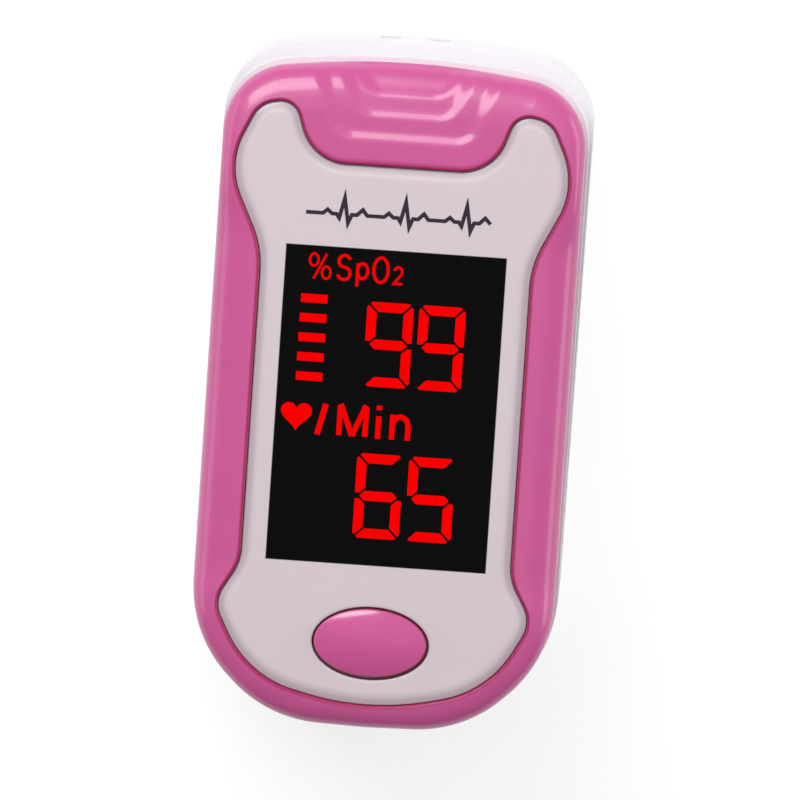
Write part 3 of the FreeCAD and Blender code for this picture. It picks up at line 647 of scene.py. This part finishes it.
def make_cover():
    """Pink cover: a closed surface of rings between the pocket's outline and the cover's side.

    Every ring has one point for each point of the pocket's outline. From the side inwards the roll-over is a
    quarter of an ellipse: a ring lies R (1 - cos a) in and D (1 - sin a) down, and R and D shrink where the
    band beside the panel is narrow. Inside the roll-over the rings run straight to the pocket, the grip's
    steps are taken off, and the edge at the pocket is a quarter round.
    """
    spacing = [0.26] * 7 + [0.15, 0.13, 0.13, 0.13, 0.15] + [0.26] * 5     # finer round the grip's bay
    inner = trace(panel_corners, pocket_gap + pocket_edge, spacing)
    outer = trace(cover_corners, 0.0, 0.06)
    share, hair = partners(inner, outer), 0.0006
    side = along_line(outer, share)
    ahead, behind = along_line(outer, share + hair), along_line(outer, share - hair)
    inward = unit(np.stack([behind[:, 1] - ahead[:, 1], ahead[:, 0] - behind[:, 0]], 1))
    band = np.linalg.norm(inner - outer[nearest_on(outer, inner)], axis=1)
    radius = softened(np.minimum(roll_reach, band / band_of_radius), 12)
    drop_all = roll_drop * (0.35 + 0.65 * radius / roll_reach)
    reach = np.minimum(radius, band_of_reach * band)
    last_angle = np.arccos(1 - reach / radius)

    def top(line, depth):
        inside = np.clip(1 - depth / radius, 0, 1)
        drop = drop_all * (1 - np.sqrt(1 - inside ** 2))
        return cover_top - drop - grip_fall(line[:, 0], line[:, 1])

    lip, pocket = 0.25, cover_top - pocket_depth
    skirt = cover_top - cover_depth
    skirt_top = top(side, np.zeros(len(side)))
    rings = [ring(side + inward * (wall - 0.1), pocket - 1.0)]
    for angle in np.linspace(0, math.pi / 2, 4):
        inset = wall - lip * (1 - math.cos(angle))
        rings.append(ring(side + inward * inset, skirt + lip * (1 - math.sin(angle))))
    for angle in np.linspace(0, math.pi / 2, 4):
        inset = skirt_draft + lip * (1 - math.sin(angle))
        rings.append(ring(side + inward * inset, skirt + lip * (1 - math.cos(angle))))
    for part in (0.25, 0.5, 0.75):
        height = (skirt + lip) * (1 - part) + skirt_top * part
        rings.append(ring(side + inward * skirt_draft * (1 - part), height))
    for part in np.linspace(0, 1, 17):
        depth = radius * (1 - np.cos(last_angle * part))
        line = side + inward * depth[:, None]
        rings.append(ring(line, top(line, depth)))
    start, side_line = side + inward * reach[:, None], trace(cover_corners)
    for part in np.linspace(0, 1, 47)[1:]:
        line = start * (1 - part) + inner * part
        rings.append(ring(line, top(line, depth_inside(line, side_line))))
    rim = rings[-1][:, 2]
    rim_ring = len(rings)
    for angle in np.linspace(0, math.pi / 2, 6)[1:]:
        line = trace(panel_corners, pocket_gap + pocket_edge * (1 - math.sin(angle)), spacing)
        rings.append(ring(line, rim - pocket_edge * (1 - math.cos(angle))))
    rings.append(ring(trace(panel_corners, pocket_gap, spacing), pocket))
    ledge = trace(panel_corners, -1.0, spacing)
    rings += [ring(ledge, pocket), ring(ledge, pocket - 1.0)]
    faces = ring_faces(len(rings), len(inner), closed_rings=True)
    piece = make_piece("pink_cover", np.concatenate(rings), faces, cover_finish(), UPPER,
                       "upper_cover")
    # Share of painted shade on each ring, rising over the last rings before the rim to full at the pocket's
    # rounded edge.
    near = np.interp(np.arange(len(rings)), [rim_ring - 5, rim_ring], [0.0, 1.0])
    pocket_shade_share = piece.data.attributes.new("pocket_shade_share", "FLOAT", "POINT")
    pocket_shade_share.data.foreach_set("value", np.repeat(near, len(inner)))


make_cover()


# ======== front panel
def cap(lines, z, up):
    """Flat face at z inside the first closed line and outside the others, as points and triangles."""
    faces = np.array(tessellate_polygon([ring(line, 0.0).tolist() for line in lines]))
    points = ring(np.concatenate(lines), z)
    a, b, c = points[faces[0]]
    faces_up = np.cross(b - a, c - a)[2] > 0
    return points, faces if faces_up == up else faces[:, ::-1]


def joined(parts):
    """One list of points and faces from several."""
    faces, first = [], 0
    for part_points, part_faces in parts:
        faces += (np.asarray(part_faces) + first).tolist()
        first += len(part_points)
    return np.concatenate([part_points for part_points, _ in parts]), faces


def oval(half_x, half_y, centre_y, count=96):
    """Closed ellipse, counter-clockwise."""
    turn = np.linspace(0, 2 * math.pi, count, endpoint=False)
    return np.column_stack([half_x * np.cos(turn), centre_y + half_y * np.sin(turn)])


def rework(piece, operation):
    """Hands a piece's mesh to one mesh operation."""
    shell = bmesh.new()
    shell.from_mesh(piece.data)
    operation(shell)
    shell.to_mesh(piece.data)
    shell.free()


def weld(piece):
    """Joins points that lie on each other, so that separate patches become one closed surface."""
    rework(piece, lambda shell: bmesh.ops.remove_doubles(shell, verts=shell.verts, dist=1e-7))


def make_front_panel():
    """Clear printed panel: side wall, chamfer rounded at both ends, flat face and the hole for the button.

    The outside is the panel's outline at one offset after another, and the hole an ellipse widened likewise.
    """
    bottom, wall_top = panel_low[2], panel_top - lens_bevel_drop
    outside = [
        (0.0, bottom), (0.0, wall_top - 0.12), (-0.04, wall_top - 0.04), (-0.12, wall_top),
        (-lens_bevel + 0.12, panel_top - 0.03), (-lens_bevel, panel_top - 0.006),
        (-lens_bevel - 0.1, panel_top), (-lens_bevel - 0.3, panel_top),
    ]
    inside = [(0.4, panel_top), (0.15, panel_top), (0.04, panel_top - 0.04), (0.0, panel_top - 0.15),
              (0.0, bottom)]
    hole_x, hole_y = button_a + button_gap, button_b + button_gap
    lines = [trace(panel_corners, offset) for offset, z in outside]
    holes = [oval(hole_x + wider, hole_y + wider, button_y) for wider, z in inside]
    outer = np.concatenate([ring(line, z) for line, (offset, z) in zip(lines, outside)])
    inner = np.concatenate([ring(hole, z) for hole, (wider, z) in zip(holes, inside)])
    points, faces = joined([
        (outer, ring_faces(len(lines), len(lines[0]))),
        cap([lines[-1], holes[0]], panel_top, True),
        (inner, ring_faces(len(holes), len(holes[0]))),
        cap([lines[0], holes[-1]], bottom, False),
    ])
    weld(make_piece("front_lens", points, faces, lens, UPPER, "front_panel"))


make_front_panel()


# ======== button
def make_button():
    """Oval button: rings of ellipses up the flange and the side, over a soft-edged bevel and a shallow dome.

    Over the dome the ellipse shrinks with cos a while the height grows with sin a squared. From the foot of
    the bevel to its shoulder the rings shift evenly by the lean.
    """
    base, top = button_low[2], button_high[2]
    flange, flange_top = button_high[0] - button_a, base + 1.0
    edge, crown, soft = 0.26, 0.68, 0.10
    foot, shoulder = panel_top - 0.1, top - crown
    profile = [
        (-flange, base), (-flange, flange_top - 0.05), (-flange + 0.05, flange_top), (-0.05, flange_top),
        (0.0, flange_top + 0.05), (0.0, foot - 0.3), (0.0, foot), (0.03, foot + 0.12),
        (edge - soft, shoulder),
    ]
    for angle in np.linspace(0, math.pi / 2, 6)[1:]:
        profile.append((edge - soft * math.cos(angle), shoulder + soft * math.sin(angle)))

    def lean(z):
        return button_lean * np.clip((z - foot) / (shoulder - foot), 0, 1)

    rings = [ring(oval(button_a - inset, button_b - inset, button_y) + lean(z), z) for inset, z in profile]
    dome = profile[-1][1]
    for angle in np.linspace(0, math.pi / 2, 14)[1:-1]:
        shrink = math.cos(angle)
        line = oval((button_a - edge) * shrink, (button_b - edge) * shrink, button_y) + button_lean
        rings.append(ring(line, dome + (top - dome) * (1 - shrink ** 2)))
    count = len(rings[0])
    hubs = [[(button_lean[0], button_y + button_lean[1], top)], [(0.0, button_y, base)]]
    faces = ring_faces(len(rings), count)
    faces += fan(count, (len(rings) - 1) * count, len(rings) * count).tolist()
    faces += fan(count, 0, len(rings) * count + 1)[:, [1, 0, 2]].tolist()
    make_piece("button_cap", np.concatenate(rings + hubs), faces, button_finish(shoulder + soft), BUTTON,
               "power_button")


make_button()


# ======== lit display and print
def flat_film(name, shapes, finish):
    """Thin film on the panel from several closed outlines, all in one piece that rides on the upper jaw."""
    bottom, top = display_z, display_z + display_film
    parts = []
    for shape in shapes:
        line = np.asarray(shape, float)
        turning = np.sum(line[:, 0] * np.roll(line[:, 1], -1) - line[:, 1] * np.roll(line[:, 0], -1))
        line = line if turning > 0 else line[::-1]
        sides = np.concatenate([ring(line, bottom), ring(line, top)])
        parts += [(sides, ring_faces(2, len(line))), cap([line], top, True), cap([line], bottom, False)]
    points, faces = joined(parts)
    weld(make_piece(name, points, faces, finish, UPPER, smooth=False))


def lit_film(name, shapes):
    """Lit segments of the display."""
    flat_film(name, shapes, lit_red)


def segment_shapes(lit):
    """Outlines of the lit segments of a digit whose box is digit_width by digit_height, from its lower left.

    Neighbours are cut along a shared 45 degree line, each half a gap back from it, and an outer tip is
    blunted. The middle bar is pointed at both ends and the sides are cut to clear its points.
    """
    w, h, t, g, blunt = digit_width, digit_height, digit_stroke, digit_gap / math.sqrt(2), digit_blunt
    m, tip = h / 2, 0.40
    top = [(g + blunt / 2, h - blunt / 2), (g + blunt, h), (w - g - blunt, h),
           (w - g - blunt / 2, h - blunt / 2), (w - t - g, h - t), (t + g, h - t)]
    upper_left = [(0, m + g * 2), (0, h - g - blunt), (blunt / 2, h - g - blunt / 2), (t, h - t - g),
                  (t, m + t - tip + 2 * g), (tip, m + 2 * g)]
    middle = [(tip, m), (tip + t / 2, m + t / 2), (w - tip - t / 2, m + t / 2), (w - tip, m),
              (w - tip - t / 2, m - t / 2), (tip + t / 2, m - t / 2)]
    shapes = {
        "a": top, "d": [(x, h - y) for x, y in top], "g": middle,
        "f": upper_left, "e": [(x, h - y) for x, y in upper_left],
        "b": [(w - x, y) for x, y in upper_left], "c": [(w - x, h - y) for x, y in upper_left],
    }
    return [np.array(shapes[name]) for name in lit]


def make_reading(name, digits, right, bottom):
    """Row of seven-segment digits that ends at right and stands on bottom."""
    lit = {"9": "abcdfg", "6": "acdefg", "5": "acdfg"}
    shapes = []
    for place, digit in enumerate(reversed(digits)):
        x = right - digit_width - place * digit_pitch
        shapes += [shape + (x, bottom) for shape in segment_shapes(lit[digit])]
    lit_film(name, shapes)


def arc(middle_x, middle_y, half_x, half_y, first, last, count=24):
    """Points along an ellipse from one angle to another, in degrees."""
    turn = np.radians(np.linspace(first, last, count))
    return np.column_stack([middle_x + half_x * np.cos(turn), middle_y + half_y * np.sin(turn)])


def stroke(line, width):
    """Outline of a line of even width: each point moved half the width along its mitre, out and back."""
    line = np.asarray(line, float)
    along = unit(np.diff(line, axis=0))
    normal = np.column_stack([-along[:, 1], along[:, 0]])
    before, after = np.vstack([normal[:1], normal]), np.vstack([normal, normal[-1:]])
    if np.allclose(line[0], line[-1]):
        before[0], after[-1] = normal[-1], normal[0]
    mitre = (before + after) / (1 + (before * after).sum(1))[:, None] * width / 2
    return np.concatenate([line + mitre, (line - mitre)[::-1]])


# Each letter is a few strokes in a box of 1 by 1.
letters = {
    "%": [arc(0.2, 0.75, 0.2, 0.25, 0, 360), arc(0.8, 0.25, 0.2, 0.25, 0, 360),
          [(0.22, -0.02), (0.78, 1.02)]],
    "S": [np.vstack([arc(0.5, 0.755, 0.46, 0.245, 18, 240), arc(0.5, 0.255, 0.5, 0.255, 62, -165)])],
    "p": [[(0.0, 1.0), (0.0, -0.04)], arc(0.5, 0.66, 0.5, 0.34, 0, 360)],
    "O": [arc(0.5, 0.5, 0.5, 0.5, 0, 360, 40)],
    "2": [np.vstack([arc(0.5, 0.72, 0.46, 0.28, 165, -28), [(0.02, 0.0), (1.04, 0.0)]])],
    "M": [[(0, 0), (0, 1)], [(1, 0), (1, 1)], [(0.02, 1.06), (0.5, 0.0)], [(0.98, 1.06), (0.5, 0.0)]],
    "i": [[(0.5, -0.04), (0.5, 0.72)], [(0.5, 0.92), (0.5, 1.08)]],
    "n": [[(0.0, -0.04), (0.0, 1.08)], np.vstack([arc(0.5, 0.52, 0.5, 0.48, 165, 0), [(1.0, -0.04)]])],
    "/": [[(0.0, -0.04), (1.0, 1.04)]],
}


def row(measured):
    """y of a place measured from the middle of the screen."""
    return measured + display_centre[1]


def make_legend(name, boxes):
    """Plain letters; each box is a letter, its left and right, its bottom and top and its stroke's width."""
    shapes = []
    for letter, left, right, bottom, top, width in boxes:
        low = np.array((left + width / 2, row(bottom) + width / 2))
        high = np.array((right - width / 2, row(top) - width / 2))
        shapes += [stroke(low + np.asarray(line) * (high - low), width) for line in letters[letter]]
    lit_film(name, shapes)


def make_display():
    """Everything lit on the screen: two readings, the level bars, a heart and the two unit legends.

    The heart is the curve x = 16 sin a cubed, y = 13 cos a - 5 cos 2a - 2 cos 3a - cos 4a, scaled to its box.
    """
    make_reading("oxygen_reading", "99", 6.46, row(1.87))
    make_reading("pulse_reading", "65", 6.46, row(-11.57))
    bar = [(-8.13, -0.38), (-5.79, -0.38), (-5.79, 0.38), (-8.13, 0.38)]
    lit_film("level_bars", [np.array(bar) + (0, row(middle)) for middle in (9.3, 7.58, 5.85, 4.12, 2.4)])
    turn = np.linspace(0, 2 * math.pi, 64, endpoint=False)
    heart = np.column_stack([
        16 * np.sin(turn) ** 3,
        13 * np.cos(turn) - 5 * np.cos(2 * turn) - 2 * np.cos(3 * turn) - np.cos(4 * turn),
    ])
    low, high = heart.min(0), heart.max(0)
    heart = (heart - low) / (high - low) * (2.75, 2.5) + (-9.25, row(-2.5))
    lit_film("heart", [heart])
    make_legend("minute_legend", [
        ("/", -6.2, -5.05, -2.85, 0.2, 0.5), ("M", -4.25, -1.48, -2.85, 0.22, 0.46),
        ("i", -0.92, -0.25, -2.85, 0.25, 0.46), ("n", 0.42, 2.28, -2.85, -0.42, 0.46)])
    make_legend("oxygen_legend", [
        ("%", -7.67, -5.59, 11.0, 13.38, 0.2), ("S", -5.19, -3.83, 11.02, 13.42, 0.26),
        ("p", -3.44, -2.3, 10.55, 12.8, 0.26), ("O", -2.03, -0.5, 10.97, 13.42, 0.26),
        ("2", -0.2, 0.76, 10.97, 12.65, 0.22)])


def make_pulse_trace():
    """Plain pulse wave printed above the screen: a line of even width along three beats of straight runs."""
    beat = [(0, 0), (1.5, 0), (1.9, 0.35), (2.3, 0), (2.7, 0), (2.95, -0.35), (3.35, 1.45), (3.75, -0.75),
            (4.05, 0), (4.5, 0), (5.0, 0.5)]
    run = [(x + start, y) for start in (0.0, 5.4, 10.8) for x, y in beat] + [(16.3, 0)]
    line = np.array(run) + (-8.2, row(16.9))
    flat_film("pulse_trace", [stroke(line, 0.34)], ink)


make_display()
make_pulse_trace()


# ======== soft finger pads
def mouth_at(x, inset, widest=13.5):
    """y of the lower shell's mouth end at each x, moved inwards by the inset."""
    line = trace(lower_corners, -inset)
    front = line[(line[:, 1] < 0) & (np.abs(line[:, 0]) < widest)]
    front = front[np.argsort(front[:, 0])]
    return np.interp(x, front[:, 0], front[:, 1])


def make_pad(name, node, window, body, rise):
    """Silicone pad: half an ellipse pushed from the mouth to the stop, closed there by a rounded end wall.

    u runs from one free edge round the channel to the other and v from the mouth inwards. Up to the stop y
    grows with v; past it the half ellipse shrinks towards the middle of its free edges, first round a quarter
    circle. Shallow ribs across the channel follow a cosine of y. The cells over the window are left out; the
    wall's thickness and its rounded rims come from modifiers.
    """
    low, high = mm_box(node)
    window_low, window_high = mm_box(window)
    half, depth = high[0] - pad_wall, abs(rise)
    middle = pivot[2]
    free = abs((low[2] if rise > 0 else high[2]) - middle)
    first, hole_u = math.asin(free / depth), math.acos(pad_hole[0] / half)
    angles = np.unique(np.round(np.concatenate([
        np.linspace(first, hole_u, 30), np.linspace(hole_u, math.pi - hole_u, 13),
        np.linspace(math.pi - hole_u, math.pi - first, 30)]), 9))
    ahead_rows, hole_rows, behind_rows, round_rows, end_rows = 59, 12, 25, 8, 11
    window_middle = (window_low[1] + window_high[1]) / 2
    hole_start, hole_end = window_middle - pad_hole[1], window_middle + pad_hole[1]
    stop, corner_round = high[1] - pad_wall, 1.2
    start = mouth_at(half * np.cos(angles), inset=0.5)[None, :]
    bend = np.linspace(0, math.pi / 2, round_rows + 1)[1:, None]
    level = np.concatenate([
        np.linspace(hole_start, hole_end, hole_rows + 1)[1:, None],
        np.linspace(hole_end, stop - corner_round, behind_rows + 1)[1:, None],
        stop - corner_round + corner_round * np.sin(bend),
        np.full((end_rows, 1), stop),
    ])
    y = np.concatenate([start + (hole_start - start) * np.linspace(0, 1, ahead_rows + 1)[:, None],
                        level * np.ones_like(start)])
    rounded = 1 - corner_round / half * (1 - np.cos(bend[:, 0]))
    shrink = np.concatenate([np.ones(len(y) - round_rows - end_rows), rounded,
                             np.linspace(rounded[-1], 0.0, end_rows + 1)[1:]])[:, None]
    rib_zone = smoothstep(y - rib_start) * smoothstep(rib_end - y)
    rib = rib_depth / 2 * rib_zone * (np.cos(2 * math.pi * y / rib_pitch) - 1)
    rib = rib * (np.sin(angles) ** 2)[None, :]
    x = (half + rib) * np.cos(angles)[None, :] * shrink
    arch = (depth + rib) * np.sin(angles)[None, :]
    z = middle + math.copysign(1, rise) * (free + (arch - free) * shrink)
    count = len(angles)
    j, i = np.meshgrid(np.arange(len(y) - 1), np.arange(count - 1), indexing="ij")
    hair = 1e-6
    hole = ((j >= ahead_rows) & (j < ahead_rows + hole_rows)
            & (angles[i] > hole_u - hair) & (angles[i + 1] < math.pi - hole_u + hair))
    corner = (j * count + i)[~hole]
    quads = np.column_stack([corner, corner + 1, corner + 1 + count, corner + count])
    if rise > 0:
        quads = quads[:, ::-1]
    points = np.stack([x, y, z], -1).reshape(-1, 3)
    piece = make_piece(name, points, quads.tolist(), silicone, body, node)
    weld(piece)
    thicken = piece.modifiers.new("wall", "SOLIDIFY")
    thicken.thickness = (pad_wall - 0.06) * MM
    thicken.offset = -1.0
    rounding = piece.modifiers.new("rim", "BEVEL")
    rounding.width = 0.22 * MM
    rounding.segments = 3
    rounding.limit_method = "ANGLE"
    rounding.angle_limit = math.radians(50)


lower_corners = body_corners(cover_half + 0.2, cover_half + 0.5, lower_low[1], lower_high[1], 6.5)
make_pad("lower_pad", "lower_finger_pad", "emitter_window", LOWER, -3.5)
make_pad("upper_pad", "upper_finger_pad", "detector_window", UPPER, 4.5)


# ======== springs and ribbon
def swept(line, section):
    """Closed skin of a section carried along a line, as points and faces.

    The section's first measure lies along x, made square to the line, and its second along the line's
    direction crossed with that. A fan of triangles closes either end.
    """
    direction = unit(np.gradient(line, axis=0))
    across = unit(np.array([1.0, 0.0, 0.0]) - direction[:, :1] * direction)
    up = np.cross(direction, across)
    rings = line[:, None] + section[None, :, :1] * across[:, None] + section[None, :, 1:] * up[:, None]
    count, total = len(section), len(line) * len(section)
    points = np.concatenate([rings.reshape(-1, 3), line[:1], line[-1:]])
    faces = ring_faces(len(line), count)
    faces += fan(count, 0, total)[:, [1, 0, 2]].tolist()
    faces += fan(count, total - count, total + 1).tolist()
    return points, faces


def make_flexible(name, node, line, section, finish):
    """Piece carried along a line from the lower jaw to the upper one, baked in place on no body."""
    points, faces = swept(line, section)
    piece = make_piece(name, points, faces, finish, None, node)
    rework(piece, lambda shell: bmesh.ops.recalc_face_normals(shell, faces=shell.faces))
    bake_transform(piece)


def make_spring(node, side):
    """Torsion spring: a leg in, a helix about the hinge's axis and a leg out, each leg tangent to the turns.

    The helix is y = r cos a, z = r sin a about the pivot, and x moves on with a, slower at both ends.
    """
    low, high = mm_box(node)
    wire, mean, inset, turns = 0.68, 1.8, 0.4, 4.5
    near, far = (low[0], high[0]) if side > 0 else (high[0], low[0])
    near, far = near + side * inset, far - side * inset
    leg = np.linspace(high[1], pivot[1], 14)[:-1]
    turn = np.linspace(-math.pi / 2, -math.pi / 2 - 2 * math.pi * turns, 220)
    even = np.linspace(0, 1, 220)
    x = near + (far - near) * (smoothstep(even) * 0.3 + even * 0.7)
    line = np.concatenate([
        np.column_stack([np.full_like(leg, near), leg, np.full_like(leg, pivot[2] - mean)]),
        np.column_stack([x, pivot[1] + mean * np.cos(turn), pivot[2] + mean * np.sin(turn)]),
        np.column_stack([np.full_like(leg, far), leg[::-1], np.full_like(leg, pivot[2] + mean)]),
    ])
    around = np.linspace(0, 2 * math.pi, 14, endpoint=False)
    section = np.column_stack([np.cos(around), np.sin(around)]) * wire / 2
    make_flexible(node + "_wire", node, line, section, drawn_steel)


def make_ribbon():
    """Flat ribbon with a ridge over each track, along the tray, round a quarter bend and up to the upper jaw.

    Half its thickness is a cosine of the distance across it, as long as the track pitch.
    """
    low, high = mm_box("ribbon_cable")
    half, thick, bend, tracks_half = high[0], 0.3, 1.2, 1.9
    run_z, rise_y = low[2] + thick / 2, high[1] - thick / 2
    turn = np.linspace(-math.pi / 2, 0, 14)
    level = np.linspace(low[1], rise_y - bend, 30)[:-1]
    rise = np.linspace(run_z + bend, high[2], 44)[1:]
    y = np.concatenate([level, rise_y - bend + bend * np.cos(turn), np.full_like(rise, rise_y)])
    z = np.concatenate([np.full_like(level, run_z), run_z + bend + bend * np.sin(turn), rise])
    line = np.column_stack([np.zeros_like(y), y, z])
    across = np.linspace(-half + 0.02, half - 0.02, 61)
    ridges = np.cos(2 * math.pi * across / track_pitch) * (np.abs(across) < tracks_half)
    skin = thick / 2 - 0.03 + 0.025 * ridges
    section = np.concatenate([np.column_stack([across, -skin]), np.column_stack([across, skin])[::-1]])
    make_flexible("flat_ribbon", "ribbon_cable", line, section, ribbon_film)


make_ribbon()
make_spring("jaw_spring_right", 1)
make_spring("jaw_spring_left", -1)


# ======== camera, light and floor
def aim(direction, up, target, distance, shift=(0.0, 0.0)):
    """World matrix of what stands off the target and looks back at it, shifted to its own right and up."""
    back = Vector(direction).normalized()
    right = Vector(up).cross(back).normalized()
    true_up = back.cross(right)
    turned = Matrix((right, true_up, back)).transposed().to_4x4()
    turned.translation = (Vector(target) + right * shift[0] + true_up * shift[1] + back * distance) * MM
    return turned


def add_camera():
    """Long lens nearly straight above the screen, leaning a little towards the grip and to the right."""
    view_width, distance, shift = 70.55, 1200.0, (1.235, 0.767)
    target = (0.0, display_centre[1], panel_top)
    direction = (math.tan(math.radians(1.1)), math.tan(math.radians(5.3)), 1.0)
    roll_angle = math.radians(3.85)
    up = (-math.sin(roll_angle), math.cos(roll_angle), 0.0)
    data = bpy.data.cameras.new("camera")
    data.sensor_width = 36.0
    data.lens = distance * data.sensor_width / view_width
    data.clip_start, data.clip_end = 0.01, 20.0
    camera = bpy.data.objects.new("camera", data)
    camera.matrix_world = aim(direction, up, target, distance, shift)
    bpy.context.scene.collection.objects.link(camera)
    bpy.context.scene.camera = camera


def add_softbox(name, direction, distance, size, power, mirrored=True):
    """Soft light that stands off the middle of the object in a direction; gloss may or may not mirror it."""
    data = bpy.data.lights.new(name, "AREA")
    data.shape = "RECTANGLE"
    data.size, data.size_y = size[0] * MM, size[1] * MM
    data.energy = power
    light = bpy.data.objects.new(name, data)
    light.matrix_world = aim(direction, (0.0, 0.0, 1.0), (0.0, 0.0, 15.0), distance)
    light.visible_glossy = mirrored
    bpy.context.scene.collection.objects.link(light)


def add_floor():
    """Plain pale floor just under the object."""
    reach, gap = 1500.0, 0.02
    points = [(-reach, -reach, -gap), (reach, -reach, -gap), (reach, reach, -gap), (-reach, reach, -gap)]
    mesh = bpy.data.meshes.new("floor")
    mesh.from_pydata((np.array(points) * MM).tolist(), [], [(0, 1, 2, 3)])
    finish = Finish("floor_paper", Emission_Strength=0.72)
    fleck = finish.noise(8.0)
    finish.set(
        Base_Color=finish.mix(fleck, (0.34, 0.34, 0.34), (0.37, 0.37, 0.37)),
        Emission_Color=(1.0, 1.0, 1.0),
        Roughness=fleck * 0.1 + 0.7,
    )
    mesh.materials.append(finish.material)
    floor = bpy.data.objects.new("floor", mesh)
    bpy.context.scene.collection.objects.link(floor)


add_camera()
add_softbox("key_back", (-0.45, 0.80, 1.05), 700.0, (460.0, 300.0), 3.0)
add_softbox("overhead", (0.15, 0.30, 1.0), 800.0, (700.0, 700.0), 4.0, mirrored=False)
add_softbox("side_left", (-1.0, 0.1, 0.30), 800.0, (700.0, 260.0), 0.9)
add_softbox("side_right", (1.0, 0.2, 0.30), 800.0, (700.0, 260.0), 1.5)
add_floor()
world = bpy.data.worlds.new("studio")
world.use_nodes = True
sky = world.node_tree.nodes["Background"]
sky.inputs["Color"].default_value = (1.0, 1.0, 1.0, 1.0)
sky.inputs["Strength"].default_value = 0.04
bpy.context.scene.world = world
bpy.context.scene.view_settings.view_transform = "Standard"
